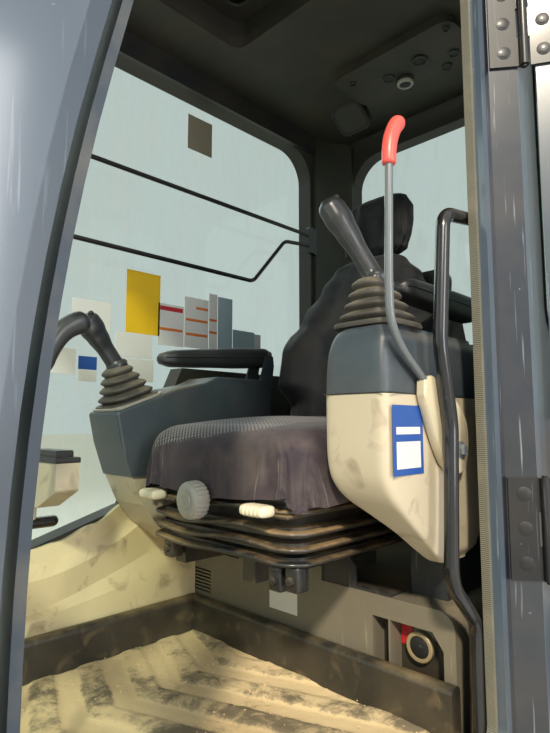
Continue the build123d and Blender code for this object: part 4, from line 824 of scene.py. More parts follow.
silver_plastic = moulded_plastic("silver grey ribbed plastic", "#8d8a81", "#b3afa4", dirt=0.25,
                                 rough=0.28, grain=0.003, depth=0.00008, dust="#6e6558")
knob_shape = bmesh.new()
knob_place = Vector((-0.032, -0.196, 0.478))
spun(knob_shape, knob_place, (0, -1, 0),
     [(-0.012, 0.012), (-0.010, 0.036), (-0.004, 0.0385), (0.014, 0.0375),
      (0.019, 0.036)], 96, 24, 0.0022)
spun(knob_shape, knob_place, (0, -1, 0),
     [(0.0, 0.034), (0.0195, 0.0345), (0.0215, 0.032), (0.0245, 0.027), (0.0255, 0.0225),
      (0.0245, 0.020), (0.0248, 0.0175), (0.0268, 0.0165), (0.0272, 0.0115), (0.0258, 0.0105),
      (0.0262, 0.006), (0.0272, 0.004)], 64)
spun(knob_shape, knob_place + Vector((0, 0.05, 0)), (0, -1, 0), [(-0.02, 0.011), (0.045, 0.011)], 24)
add_piece("weight_knob", closed_mesh(knob_shape, "knob"), silver_plastic, "seat",
          ["seat_adjusters"], 35)
cream_nylon = moulded_plastic("cream nylon grips", "#dcd3b6", "#efe6cb", dirt=0.35, rough=0.4)
for name, x in (("far", -0.196), ("near", 0.14)):
    shape = bmesh.new()
    rings = []
    for i in range(33):
        share = i / 32
        end = min(share, 1 - share)
        fat = eased([(0.0, 0.55), (0.06, 0.95), (0.12, 1.0), (0.5, 1.0)], end)
        rib = 1 + 0.07 * (math.sin(share * math.pi * 12) if 0.1 < share < 0.75 else 0)
        rings.append(ring(Vector((x - 0.031 + 0.062 * share, -0.188, 0.475)), Vector((0, 1, 0)),
                          Vector((0, 0, 1)), 0.0195 * fat * rib, 0.0105 * fat * rib, 3, 24))
    skin(shape, rings)
    add_piece("adjuster_grip_" + name, closed_mesh(shape, "grip"), cream_nylon, "seat",
              angle=60)
    stalk = bmesh.new()
    rounded_box(stalk, (x - 0.009, -0.176, 0.4685), (x + 0.009, -0.12, 0.4775), 0.002)
    rounded_box(stalk, (x + 0.02, -0.172, 0.462), (x + 0.06, -0.13, 0.468), 0.002)
    add_piece("adjuster_stalk_" + name, closed_mesh(stalk, "stalk"), seat_steel, "seat")


# Floor mat: one moulded sheet of black rubber with wide chevron ribs. Sand lies in its grooves and
# along its edges, and is worn off the tops of the ribs where the boots go.
def sandy_rubber(name, rubber, sand, rib_pitch, rib_slope, rib_middle, bare=0.5):
    """Black rubber under sand: the ribs' tops show through, the grooves are filled."""
    made = blank(name)
    place = node(made, "ShaderNodeTexCoord").outputs["Object"]
    grains = node(made, "ShaderNodeTexNoise", {"Scale": 620.0, "Detail": 4.0, "Roughness": 0.75},
                  {"Vector": place})
    patches = node(made, "ShaderNodeTexNoise", {"Scale": 11.0, "Detail": 14.0, "Roughness": 0.8,
                   "Distortion": 0.3}, {"Vector": place})
    broad = node(made, "ShaderNodeTexNoise", {"Scale": 3.2, "Detail": 3.0}, {"Vector": place})
    split = node(made, "ShaderNodeSeparateXYZ", links={"Vector": place})
    off = node(made, "ShaderNodeMath", {1: rib_middle}, {0: split.outputs["X"]}, operation="SUBTRACT")
    away = node(made, "ShaderNodeMath", links={0: off.outputs[0]}, operation="ABSOLUTE")
    slope = node(made, "ShaderNodeMath", {1: rib_slope}, {0: away.outputs[0]}, operation="MULTIPLY")
    along = node(made, "ShaderNodeMath", links={0: split.outputs["Y"], 1: slope.outputs[0]},
                 operation="SUBTRACT")
    turns = node(made, "ShaderNodeMath", {1: 2 * math.pi / rib_pitch}, {0: along.outputs[0]},
                 operation="MULTIPLY")
    wave = node(made, "ShaderNodeMath", links={0: turns.outputs[0]}, operation="COSINE")
    top = node(made, "ShaderNodeMapRange", {"From Min": -0.55, "From Max": 0.1},
               {"Value": wave.outputs[0]})
    mixed = node(made, "ShaderNodeMath", {1: 0.17}, {0: top.outputs[0]}, operation="MULTIPLY")
    worn = node(made, "ShaderNodeMath", links={0: mixed.outputs[0], 1: patches.outputs["Fac"]},
                operation="ADD")
    worn = node(made, "ShaderNodeMath", {1: bare - 0.5}, {0: worn.outputs[0]}, operation="ADD")
    worn = node(made, "ShaderNodeMath", links={0: worn.outputs[0], 1: node(made, "ShaderNodeMapRange",
                {"From Min": 0.35, "From Max": 0.65, "To Min": -0.06, "To Max": 0.06},
                {"Value": broad.outputs["Fac"]}).outputs[0]}, operation="ADD")
    shows = node(made, "ShaderNodeMapRange", {"From Min": 0.6, "From Max": 0.74},
                 {"Value": worn.outputs[0]})
    film = node(made, "ShaderNodeMath", {1: 0.8}, {0: shows.outputs[0]}, operation="MULTIPLY")
    sand_tone = node(made, "ShaderNodeMix", {6: linear(sand), 7: linear("#f0dcb0")},
                     {0: grains.outputs["Fac"]}, data_type="RGBA")
    sand_dark = node(made, "ShaderNodeMix", {7: linear("#9a7d52")},
                     {0: node(made, "ShaderNodeMapRange", {"From Min": 0.5, "From Max": 0.75,
                              "To Max": 0.55}, {"Value": broad.outputs["Fac"]}).outputs[0],
                      6: sand_tone.outputs[2]}, data_type="RGBA")
    tone = node(made, "ShaderNodeMix", {7: linear(rubber)},
                {0: film.outputs[0], 6: sand_dark.outputs[2]}, data_type="RGBA")
    rough = node(made, "ShaderNodeMapRange", {"To Min": 0.95, "To Max": 0.6},
                 {"Value": film.outputs[0]})
    relief = node(made, "ShaderNodeBump", {"Strength": 0.7, "Distance": 0.0016},
                  {"Height": grains.outputs["Fac"]})
    surface = node(made, "ShaderNodeBsdfPrincipled", links={"Base Color": tone.outputs[2],
                   "Roughness": rough.outputs[0], "Normal": relief.outputs["Normal"]})
    node(made, "ShaderNodeOutputMaterial", links={"Surface": surface.outputs["BSDF"]})
    return made


rib_pitch = 0.107
rib_slope = 0.38
rib_middle = -0.15
mat_low, mat_high = (Vector(corner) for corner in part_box("floor_mat"))
mat_sand = sandy_rubber("sandy mat rubber", "#4a473e", "#c9ac7a", rib_pitch, rib_slope, rib_middle)
mat_step = 0.0055
columns = int((mat_high.x - mat_low.x) / mat_step)
rows = int((mat_high.y - mat_low.y) / mat_step)
rib_rise = 0.006
mat_shape = bmesh.new()
grid = []
for row in range(rows + 1):
    line = []
    for column in range(columns + 1):
        x = mat_low.x + (mat_high.x - mat_low.x) * column / columns
        y = mat_low.y + (mat_high.y - mat_low.y) * row / rows
        wave = math.cos(2 * math.pi * (y - rib_slope * abs(x - rib_middle)) / rib_pitch)
        rib = 0.5 + 0.5 * max(-1.0, min(1.0, wave * 2.6))
        at = Vector((x * 9, y * 9, 0))
        drift = 0.5 + 0.5 * noise.noise(at) + 0.22 * noise.noise(at * 5)
        lumps = max(0.0, noise.noise(at * 11)) * 0.0022
        bank = eased([(0.0, 1.0), (0.07, 0.0), (1.0, 0.0)], min(x - mat_low.x, mat_high.y - y, 1.0))
        z = mat_high.z - 0.003 + rib_rise * rib * 0.8 + 0.002 * drift + lumps + 0.006 * bank * drift
        line.append(mat_shape.verts.new((x, y, z)))
    grid.append(line)
for row in range(rows):
    for column in range(columns):
        mat_shape.faces.new((grid[row][column], grid[row][column + 1], grid[row + 1][column + 1],
                             grid[row + 1][column]))
rim = (grid[0] + [line[-1] for line in grid[1:]] + grid[-1][-2::-1]
       + [line[0] for line in grid[-2:0:-1]])
under = [mat_shape.verts.new((v.co.x, v.co.y, mat_low.z)) for v in rim]
for i in range(len(rim)):
    j = (i + 1) % len(rim)
    mat_shape.faces.new((rim[i], under[i], under[j], rim[j]))
mat_shape.faces.new(under)
add_piece("floor_mat_ribbed", closed_mesh(mat_shape, "mat"), mat_sand, "cab",
          ["floor_mat"], 70)

random.seed(11)
grit_shape = bmesh.new()
for _ in range(420):
    x = random.uniform(mat_low.x + 0.02, mat_high.x - 0.05)
    y = mat_high.y - 0.02 - abs(random.gauss(0, 0.3)) % (mat_high.y - mat_low.y - 0.05)
    size = random.uniform(0.0008, 0.0032) * random.uniform(0.5, 1.0)
    turned = Matrix.Rotation(random.uniform(0, 3), 4, Vector((random.random(), random.random(), 1)))
    spread = Matrix.Diagonal((1.0, random.uniform(0.5, 1.0), random.uniform(0.4, 0.8), 1.0))
    bmesh.ops.create_icosphere(grit_shape, subdivisions=1, radius=size, matrix=Matrix.Translation(
        (x, y, mat_high.z + 0.003)) @ turned @ spread)
add_piece("floor_grit", closed_mesh(grit_shape, "grit"),
          sandy_rubber("sand crumbs", "#6d6049", "#c9b087", 1.0, 0.0, 0.0, 0.3), "cab")


# Kick rail: a moulded rubber kerb round the mat. Boots have scuffed its face pale
rail_rubber = moulded_plastic("scuffed kerb rubber", "#24231f", "#3a3730", dirt=0.7, rough=0.38,
                              stains=0.4, dust="#8f7c58", grain=0.002)
wear(rail_rubber, "kick_rail")


# Side trim: a blow-moulded cream panel below the right window, with ridges that fan out from its
# front foot towards the seat
trim_low, trim_high = (Vector(corner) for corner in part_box("side_trim"))
trim_lines = [(0.08, 0.0, 0.0, 0.042), (0.196, 0.10, 0.18, 0.042), (0.206, 0.22, 0.25, 0.031),
              (0.279, 0.06, 1.05, 0.037), (0.312, 0.07, 0.95, 0.020), (0.348, 0.14, 1.75, 0.0142)]
trim_turn = -0.36
right_side = trim_low.x
trim_top = [(-0.79, 0.335), (-0.36, 0.342), (-0.3, 0.352), (-0.205, 0.382), (-0.12, 0.425),
            (-0.04, 0.47), (0.09, 0.515)]
trim_shape = bmesh.new()
rings = []
for i in range(81):
    y = trim_low.y + (trim_high.y - trim_low.y) * i / 80
    past = max(0.0, y - trim_turn)
    ceiling = eased(trim_top, y)
    line = []
    for j, (height, slope, curve, reach) in enumerate(trim_lines):
        z = min(height + slope * past + curve * past * past, ceiling)
        line.append((z, reach))
    line[-1] = (ceiling, 0.0142)
    points = []
    for (z, reach), (z_next, reach_next) in zip(line[:-1], line[1:]):
        for k in range(5):
            share = k / 5
            points.append(Vector((right_side + reach + (reach_next - reach) * share, y,
                                  z + (z_next - z) * share)))
    points.append(Vector((right_side + line[-1][1], y, line[-1][0])))
    points.append(Vector((right_side + 0.001, y, line[-1][0])))
    points.append(Vector((right_side + 0.001, y, trim_low.z)))
    rings.append(points)
skin(trim_shape, rings)
add_piece("side_trim_panel", closed_mesh(trim_shape, "trim"), trim_cream, "cab",
          ["side_trim"], 16)


# Cards and plates: printed vinyl on the right window, the consoles and the pedestal, left blank
def print_finish(name, colour, dirt=0.15):
    """Printed vinyl film with a little dust."""
    return moulded_plastic(name, colour, colour, grain=0.004, dirt=dirt, rough=0.35, depth=0.00003)


paper_white = print_finish("white card", "#dcdcd6")
card_yellow = print_finish("yellow card", "#e9bd16")
card_orange = print_finish("orange print", "#d9742c")
card_red = print_finish("red print", "#b8202a")
card_blue = print_finish("blue card", "#24509a")
card_grey = print_finish("grey brown card", "#857f70")
card_pale = print_finish("pale blue card", "#9fb4bd")
film_thick = 0.0008


def window_card(name, finish, y_low, y_high, z_low, z_high, over=0):
    """A card on the inside of the right window; over lifts a print above the card below it."""
    face = card_face + film_thick * over
    shape = bmesh.new()
    rounded_box(shape, (face, y_low, z_low), (face + film_thick, y_high, z_high), 0.0003, 1)
    add_piece(name, closed_mesh(shape, name), finish, "cab")


pane_points = [v.co for v in nodes["fixed_windows"].data.vertices if v.co.x < -0.3]
card_face = max(p.x for p in pane_points if p.y < 0.6 and abs(p.z - 1.0) < 0.7) + 0.0003
window_card("card_yellow_large", card_yellow, -0.094, 0.018, 0.885, 1.066)
for i, (y_low, y_high, z_low, z_high) in enumerate(
        [(0.012, 0.105, 0.86, 0.985), (0.107, 0.2, 0.862, 1.02), (0.202, 0.236, 0.862, 1.045),
         (-0.125, -0.006, 0.815, 0.885), (-0.13, 0.0, 0.748, 0.812), (-0.25, -0.14, 0.872, 0.958),
         (-0.318, -0.236, 0.756, 0.822), (-0.228, -0.176, 0.74, 0.77), (0.4, 0.43, 0.88, 0.935),
         (-0.27, -0.245, 1.25, 1.4)]):
    window_card("card_white_%d" % i, paper_white, y_low, y_high, z_low, z_high)
window_card("card_blue_small", card_blue, -0.228, -0.176, 0.771, 0.806)
window_card("card_red_strip", card_red, 0.018, 0.1, 0.965, 0.978, 1)
window_card("card_red_dot", card_red, -0.312, -0.297, 0.765, 0.783, 1)
for i, (y_low, y_high, z) in enumerate([(0.018, 0.1, 0.905), (0.112, 0.196, 0.9), (0.112, 0.196, 0.945),
                                        (0.15, 0.198, 0.985), (0.203, 0.234, 0.955),
                                        (0.203, 0.234, 0.915)]):
    window_card("card_orange_strip_%d" % i, card_orange, y_low, y_high, z, z + 0.008, 1)
window_card("card_pale_large", card_pale, 0.238, 0.3, 0.862, 1.04)
window_card("card_pale_low", card_pale, 0.302, 0.4, 0.875, 0.94)
window_card("card_grey_high", card_grey, 0.108, 0.205, 1.5, 1.615)


def plate(name, finish, low, high, body="cab", round_by=0.0005):
    """A thin plate or label between two corners."""
    shape = bmesh.new()
    rounded_box(shape, low, high, round_by, 1)
    add_piece(name, closed_mesh(shape, name), finish, body)


label_x = console_side + 0.0002
plate("console_label_blue", card_blue, (label_x, -0.118, 0.545), (label_x + 0.001, -0.024, 0.66))
plate("console_label_panel", paper_white, (label_x + 0.001, -0.108, 0.556),
      (label_x + 0.0014, -0.034, 0.6),
      round_by=0.0001)
plate("console_label_stripe", paper_white, (label_x + 0.001, -0.108, 0.612),
      (label_x + 0.0014, -0.034, 0.624),
      round_by=0.0001)
pedestal_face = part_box("seat_pedestal")[0][1]
plate("pedestal_plate", paper_white, (-0.104, pedestal_face - 0.001, 0.192),
      (-0.014, pedestal_face + 0.0001, 0.258),
      round_by=0.0004)
plate("pedestal_plate_band", card_yellow, (-0.104, pedestal_face - 0.0014, 0.24),
      (-0.014, pedestal_face - 0.0009, 0.258), round_by=0.0002)
plate("pedestal_label_red", card_red, (0.2355, pedestal_face + 0.037, 0.19),
      (0.262, pedestal_face + 0.0385, 0.238),
      round_by=0.0004)


# Hinges: forged leaves on the pillar's and the door's bevels in satin black. Each has three low
# hexagon bolts on washers, thin enough that the two leaves fold flat when the door is closed
hinge_black = sprayed_steel("satin black hinge paint", "#090c10", "#4d555b", dirt=0.2, rough=0.42,
                            coat=0.15)
tube_black = sprayed_steel("gloss black tube paint", "#080c12", "#343b42", dirt=0.12, rough=0.25,
                           coat=0.5)
wear(hinge_black, "pillar_hinges", "door_hinges", "window_guards")
wear(tube_black, "handrail")


def leaf_bolts(name, node_name, body):
    """Three bolts on each leaf of a hinge node, found from the leaf's largest flat face."""
    mesh = nodes[node_name].data
    shape = bmesh.new()
    for low_z, high_z in ((0.2, 0.8), (1.1, 1.7)):
        faces = [f for f in mesh.polygons if low_z < f.center.z < high_z and abs(f.normal.z) < 0.1]
        groups = {}
        for face in faces:
            key = (round(face.normal.x, 1), round(face.normal.y, 1),
                   round(face.center.dot(face.normal), 3))
            groups.setdefault(key, []).append(face)
        outer = [g for g in groups.values() if sum(f.area for f in g) > 0.0055]
        face_group = max(outer, key=lambda g: sum(f.area for f in g)
                         + (0.01 if g[0].normal.x > 0.2 or g[0].normal.y < -0.9 else 0))
        normal = face_group[0].normal.copy()
        normal.z = 0
        normal.normalize()
        corners = [mesh.vertices[i].co for f in face_group for i in f.vertices]
        level = corners[0].dot(normal)
        aside = Vector((-normal.y, normal.x, 0))
        spread = [c.dot(aside) for c in corners]
        middle = (min(spread) + max(spread)) / 2
        foot_z = min(c.z for c in corners)
        top_z = max(c.z for c in corners)
        for share in (0.16, 0.5, 0.84):
            place = normal * level + aside * middle + Vector((0, 0, foot_z + (top_z - foot_z) * share))
            spun(shape, place, normal, [(-0.0005, 0.0125), (0.0006, 0.0125), (0.0009, 0.0117)], 24)
            spun(shape, place, normal, [(0.0005, 0.0092), (0.0016, 0.0092), (0.0019, 0.0078)], 6)
    add_piece(name, closed_mesh(shape, name), hinge_black, body, angle=25)


leaf_bolts("pillar_hinge_bolts", "pillar_hinges", "cab")
leaf_bolts("door_hinge_bolts", "door_hinges", "door")


# Door seal: a ribbed rubber strip pressed over the doorway's flange. Its lip is narrower than the
# flange, whose painted edge shows beside it, and along the front post it is smooth and dark
def ribbed_seal(name, lit_rib_colour, shaded_groove_colour, smooth_colour, pitch, post_y):
    """Rubber with fine ribs across it drawn in colour, lighter tops and darker grooves as painted light
    and shade; smooth in front of post_y.
    """
    made = blank(name)
    place = node(made, "ShaderNodeTexCoord").outputs["Object"]
    split = node(made, "ShaderNodeSeparateXYZ", links={"Vector": place})
    # Ribs in colour only: the rib tops are painted lighter and the grooves darker, as painted light and
    # shade.
    turns = node(made, "ShaderNodeMath", {1: 2 * math.pi / pitch}, {0: split.outputs["Z"]},
                 operation="MULTIPLY")
    wave = node(made, "ShaderNodeMath", links={0: turns.outputs[0]}, operation="SINE")
    ribs = node(made, "ShaderNodeMapRange", {"From Min": -0.6, "From Max": 0.5},
                {"Value": wave.outputs[0]})
    tone = node(made, "ShaderNodeMix", {6: linear(shaded_groove_colour), 7: linear(lit_rib_colour)},
                {0: ribs.outputs[0]}, data_type="RGBA")
    in_front = node(made, "ShaderNodeMath", {1: post_y}, {0: split.outputs["Y"]},
                    operation="LESS_THAN")
    plain = node(made, "ShaderNodeMix", {7: linear(smooth_colour)},
                 {0: in_front.outputs[0], 6: tone.outputs[2]}, data_type="RGBA")
    cloud = node(made, "ShaderNodeTexNoise", {"Scale": 14.0, "Detail": 6.0}, {"Vector": place})
    film = node(made, "ShaderNodeMapRange", {"From Min": 0.5, "From Max": 0.75, "To Max": 0.3},
                {"Value": cloud.outputs["Fac"]})
    dusty = node(made, "ShaderNodeMix", {7: linear("#9b9178")},
                 {0: film.outputs[0], 6: plain.outputs[2]}, data_type="RGBA")
    surface = node(made, "ShaderNodeBsdfPrincipled", {"Roughness": 0.5},
                   {"Base Color": dusty.outputs[2]})
    node(made, "ShaderNodeOutputMaterial", links={"Surface": surface.outputs["BSDF"]})
    return made


seal_depth = 0.015
seal_post_y = -0.45
seal_narrow_y = -0.25
seal_bulge = 0.008
seal_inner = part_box("door_seal")[0][0]
seal_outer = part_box("door_seal")[1][0]
seal_mesh = nodes["door_seal"].data.copy()
seal_mesh.materials.clear()
for corner in seal_mesh.vertices:
    behind = min(max((corner.co.y - seal_post_y) / (seal_narrow_y - seal_post_y), 0), 1)
    narrowed = 1 + (seal_depth / (seal_outer - seal_inner) - 1) * behind
    corner.co.x = seal_inner + (corner.co.x - seal_inner) * narrowed
    corner.co.y += seal_bulge * (1 - behind)
add_piece("door_seal_strip", seal_mesh,
          ribbed_seal("ribbed door seal", "#7e7c6d", "#4a493f", "#3f4a55", 0.0034, -0.25), "cab",
          ["door_seal"])


# Overhead console: a grained panel with four round knobs and holes, a small dome lamp with a
# bright ring, and two black speakers that tilt down towards the seat
ceiling_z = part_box("ceiling_lining")[0][2]
panel_z = ceiling_z - 0.024
down = Vector((0, 0, -1))
fittings = bmesh.new()
holes = bmesh.new()
for x, y, size in ((-0.006, 0.507, 0.015), (0.106, 0.498, 0.019), (0.192, 0.539, 0.013),
                   (0.15, 0.58, 0.013), (-0.1, 0.45, 0.008), (0.225, 0.43, 0.008)):
    spun(fittings, (x, y, panel_z), down,
         [(-0.002, size * 1.25), (0.003, size * 1.25), (0.006, size * 1.08), (0.006, size),
          (0.002, size * 0.92)], 32)
    spun(holes, (x, y, panel_z), down, [(0.0005, size * 0.9), (0.0035, size * 0.9)], 32)
lamp_place = Vector((0.024, 0.552, panel_z - 0.008))
lamp_ring = bmesh.new()
spun(lamp_ring, lamp_place, down,
     [(0.0, 0.025), (0.006, 0.025), (0.009, 0.0225), (0.009, 0.019), (0.004, 0.018)], 48)
spun(holes, lamp_place, down, [(0.0, 0.018), (0.006, 0.017), (0.009, 0.01)], 48)
add_piece("overhead_knobs", closed_mesh(fittings, "knobs"), black_abs, "cab", angle=30)
add_piece("overhead_holes", closed_mesh(holes, "holes"), dull_black, "cab", angle=30)
add_piece("dome_lamp_ring", closed_mesh(lamp_ring, "ring"), silver_plastic, "cab", angle=30)
speakers = bmesh.new()
speaker_tilt = math.radians(35)
out_of_speaker = Vector((0, -math.sin(speaker_tilt), -math.cos(speaker_tilt)))
across_speaker = Vector((1, 0, 0))
for x in (-0.226, 0.326):
    foot = Vector((x, 0.618, ceiling_z - 0.004))
    skin(speakers, [ring(foot + out_of_speaker * rise, across_speaker,
                         across_speaker.cross(out_of_speaker), wide, wide * 0.92, 5, 48)
                    for rise, wide in ((0.001, 0.0605), (0.026, 0.0608), (0.031, 0.057), (0.0312, 0.05),
                                       (0.029, 0.048))])
add_piece("speaker_covers", closed_mesh(speakers, "covers"), dull_black, "cab", angle=30)


# Alcove: a power socket, a black cap in a tan ring, in a recess whose back wall carries dark brown sheets
# as painted shade
alcove_tan = moulded_plastic("tan socket nylon", "#8c7c5b", "#a39473", dirt=0.3, rough=0.35)
alcove_painted_shade = sprayed_steel("painted recess shade, brown", "#352e22", "#5c5240", dirt=0.7, rough=0.6, coat=0.0)
pedestal_low = Vector(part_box("seat_pedestal")[0])
recess_y = pedestal_low.y + 0.0394
shade_sheet = bmesh.new()
# Painted shade: dark brown sheets on the recess's back wall.
for x_low, x_high in ((0.193, 0.229), (0.2345, 0.347)):
    rounded_box(shade_sheet, (x_low, recess_y, 0.081),
                (x_high, recess_y + 0.0005, 0.242 if x_high < 0.3 else 0.213),
                0.0002, 1)
add_piece("alcove_shade_sheet", closed_mesh(shade_sheet, "shade_sheet"), alcove_painted_shade, "cab")
socket_place = Vector((0.284, pedestal_low.y + 0.026, 0.198))
socket_shape = bmesh.new()
spun(socket_shape, socket_place, (0, -1, 0),
     [(-0.001, 0.0285), (0.003, 0.0285), (0.0045, 0.0265), (0.0045, 0.0215), (0.001, 0.0205)], 48)
add_piece("socket_ring", closed_mesh(socket_shape, "ring"), alcove_tan, "cab")
socket_hole = bmesh.new()
spun(socket_hole, socket_place, (0, -1, 0),
     [(-0.002, 0.0205), (0.0022, 0.0205), (0.0034, 0.0185), (0.0036, 0.006), (0.0046, 0.005),
      (0.0048, 0.003)], 40)
add_piece("socket_cap", closed_mesh(socket_hole, "cap"), dull_black, "cab")


# Travel levers: bent rods with soft banana-shaped grips, over ribbed rubber pedals
for name, x in (("right", -0.11), ("left", 0.07)):
    shape = bmesh.new()
    swept(shape, bend([(x, -0.6, 0.1), (x, -0.622, 0.28), (x, -0.636, 0.42), (x, -0.622, 0.53),
                       (x, -0.585, 0.65), (x, -0.525, 0.755)], 6), 0.008, 14)
    rounded_box(shape, (x - 0.022, -0.63, 0.08), (x + 0.022, -0.56, 0.142), 0.006)
    add_piece("travel_lever_" + name, closed_mesh(shape, "lever"), seat_steel, "cab",
              ["travel_levers"] if name == "right" else [], 45)
    handle = bmesh.new()
    swept(handle, bend([(x, -0.556, 0.706), (x, -0.544, 0.738), (x, -0.528, 0.764), (x, -0.506, 0.781),
                        (x, -0.484, 0.788)], 7),
          lambda share: eased([(0.0, 0.012), (0.1, 0.0155), (0.55, 0.0165), (0.85, 0.018), (0.95, 0.014),
                               (1.0, 0.005)], share), 24)
    add_piece("travel_grip_" + name, closed_mesh(handle, "handle"), grip_nylon, "cab",
              angle=60)
    pedal = bmesh.new()
    slope = Matrix.Rotation(math.atan2(0.102, -0.146) + math.pi, 4, "X")
    for i in range(9):
        share = i / 8
        at = Vector((x, -0.664 + 0.146 * share, 0.19 - 0.102 * share))
        rounded_box(pedal, at + Vector((-0.043, -0.004, 0.0)), at + Vector((0.043, 0.004, 0.007)),
                    0.002, 2)
    rounded_box(pedal, (x - 0.045, -0.672, 0.184), (x + 0.045, -0.66, 0.196), 0.003, 2)
    plate_points = [(-0.664, 0.19), (-0.518, 0.088), (-0.5, 0.088), (-0.5, 0.082), (-0.52, 0.082),
                    (-0.668, 0.184)]
    skin(pedal, [[Vector((x + side, y, z)) for y, z in plate_points] for side in (-0.045, 0.045)])
    add_piece("travel_pedal_" + name, closed_mesh(pedal, "pedal"), rail_rubber, "cab",
              angle=40)


# Left console: two moulded housings. The slate hood has round shoulders under the boot, the cream
# body below it is one sculpted shell that draws in towards its outer lower corner
def sculpted(name, stops, rear, outer, power, closing=0.006):
    """A moulded shell: stops give its inner X, front Y and Z, rear and outer its other sides."""
    route = bend(stops, 5)
    rings = []
    for point in [route[0] + Vector((closing, closing, 0))] + route:
        reach = Vector(((eased(outer, point.z) - point.x) / 2, (eased(rear, point.z) - point.y) / 2, 0))
        rings.append(ring(point + reach, Vector((1, 0, 0)), Vector((0, 1, 0)), reach.x, reach.y,
                          power, 96))
    shape = bmesh.new()
    skin(shape, rings)
    return closed_mesh(shape, name)


hood = sculpted("hood", [(0.24, -0.13, 0.681), (0.241, -0.129, 0.72), (0.245, -0.126, 0.756),
                         (0.254, -0.119, 0.782), (0.268, -0.108, 0.795), (0.288, -0.093, 0.8)],
                [(0.7, 0.25), (0.78, 0.246), (0.8, 0.225)], [(0.7, 0.38), (0.77, 0.377), (0.8, 0.36)], 9)
add_piece("console_hood", hood, slate_abs, "cab", ["left_console_upper"], 50)
shell = sculpted("shell", [(0.24, -0.13, 0.679), (0.24, -0.13, 0.62), (0.241, -0.129, 0.568),
                           (0.247, -0.123, 0.532), (0.262, -0.104, 0.502), (0.29, -0.07, 0.472),
                           (0.316, -0.03, 0.44), (0.332, 0.016, 0.404), (0.342, 0.05, 0.382),
                           (0.356, 0.08, 0.377)],
                 [(0.377, 0.15), (0.4, 0.185), (0.44, 0.24), (0.5, 0.25)],
                 [(0.377, 0.366), (0.4, 0.377), (0.45, 0.38)], 9)
add_piece("console_shell", shell, cream_abs, "cab", ["left_console_lower"], 50)
seam_shape = bmesh.new()
swept(seam_shape, [Vector((x, -0.1305, 0.68)) for x in (0.25, 0.3, 0.372)], 0.0012, 6)
swept(seam_shape, [Vector((0.3803, y, 0.68)) for y in (-0.12, 0.0, 0.24)], 0.0012, 6)
add_piece("console_seam", closed_mesh(seam_shape, "seam"), dull_black, "cab")


# Right console: a bright plate under its boot, as wide as the boot's flange
plate_foot, plate_tilt = boot_foot["right"]
across, rearward, up = boot_axes(plate_tilt)
boot_plate = bmesh.new()
skin(boot_plate, [ring(plate_foot + up * rise, across, rearward, wide, wide, 7, 56)
                  for rise, wide in ((0.0002, 0.067), (0.0055, 0.0685), (0.0065, 0.067))])
add_piece("boot_plate_right", closed_mesh(boot_plate, "plate"), silver_plastic, "cab",
          angle=30)


# Stand bracket: the two bolts of its folded steel plate, rubbed and dusty
bracket_y = pedestal_low.y + 0.002
bracket_bolts = bmesh.new()
for x, z in ((0.083, 0.342), (0.104, 0.352)):
    spun(bracket_bolts, (x, bracket_y, z), (0, -1, 0), [(0.0, 0.0085), (0.0015, 0.0085)], 24)
    spun(bracket_bolts, (x, bracket_y, z), (0, -1, 0),
         [(0.001, 0.0065), (0.006, 0.0065), (0.007, 0.005)], 6)
add_piece("bracket_bolts", closed_mesh(bracket_bolts, "bolts"), lever_grey, "cab",
          angle=25)


# Glazing: a black rubber bead runs round both faces of every flat pane
glazing_rubber = moulded_plastic("black glazing rubber", "#141516", "#232425", dirt=0.3, rough=0.55)
bead_radius = 0.005
smallest_pane = 0.05


def glazing_bead(name, node_name, body):
    """A bead along the outline of each large flat face of a glass node."""
    pane = bmesh.new()
    pane.from_mesh(nodes[node_name].data)
    bmesh.ops.dissolve_limit(pane, angle_limit=0.01, verts=pane.verts[:], edges=pane.edges[:])
    bead = bmesh.new()
    for face in [f for f in pane.faces if f.calc_area() > smallest_pane]:
        outline = [v.co.copy() for v in face.verts]
        swept(bead, outline + outline[:1], bead_radius, 8)
    pane.free()
    add_piece(name, closed_mesh(bead, name), glazing_rubber, body, angle=60)


glazing_bead("fixed_window_beads", "fixed_windows", "cab")
glazing_bead("door_pane_beads", "door_panes", "door")
glazing_bead("hatch_bead", "hatch_glass", "hatch")




# Monitor: a cream ABS housing with a black cap, on a painted tube. Its screen faces the seat
screen_glass = moulded_plastic("dark monitor screen", "#0a0e12", "#10151a", dirt=0.15, depth=0.00001,
                               rough=0.12)
monitor_box = [Vector(corner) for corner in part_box("monitor")]
cap_depth = 0.026
arm_top = monitor_box[0].z + 0.03
screen_y = monitor_box[1].y - 0.0045
monitor_mesh = nodes["monitor"].data.copy()
monitor_mesh.materials.clear()
for finish in (cream_abs, black_abs, tube_black, screen_glass):
    monitor_mesh.materials.append(finish)
for face in monitor_mesh.polygons:
    if face.center.z < arm_top:
        face.material_index = 2
    elif face.center.z > monitor_box[1].z - cap_depth:
        face.material_index = 1
    elif face.normal.y > 0.9 and face.center.y < screen_y:
        face.material_index = 3
monitor = bpy.data.objects.new("monitor_finished", monitor_mesh)
bpy.context.scene.collection.objects.link(monitor)
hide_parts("monitor")
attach(monitor, "cab")


# Pedestal: folded steel in a grey tan primer, streaked with dried mud
wear(sprayed_steel("grey tan pedestal paint", "#746e5f", "#979080", dirt=0.9, rough=0.5, coat=0.1,
                   dust="#b39d76"), "seat_pedestal")


# Stage: a pale floor and backdrop, soft studio light, and the camera at the photograph's place
def flat_finish(name, colour):
    """A plain matt finish that the camera and reflections see as pale as it is written."""
    made = blank(name)
    seen = node(made, "ShaderNodeBsdfDiffuse", {"Color": linear(colour)})
    node(made, "ShaderNodeOutputMaterial", links={"Surface": seen.outputs["BSDF"]})
    return made


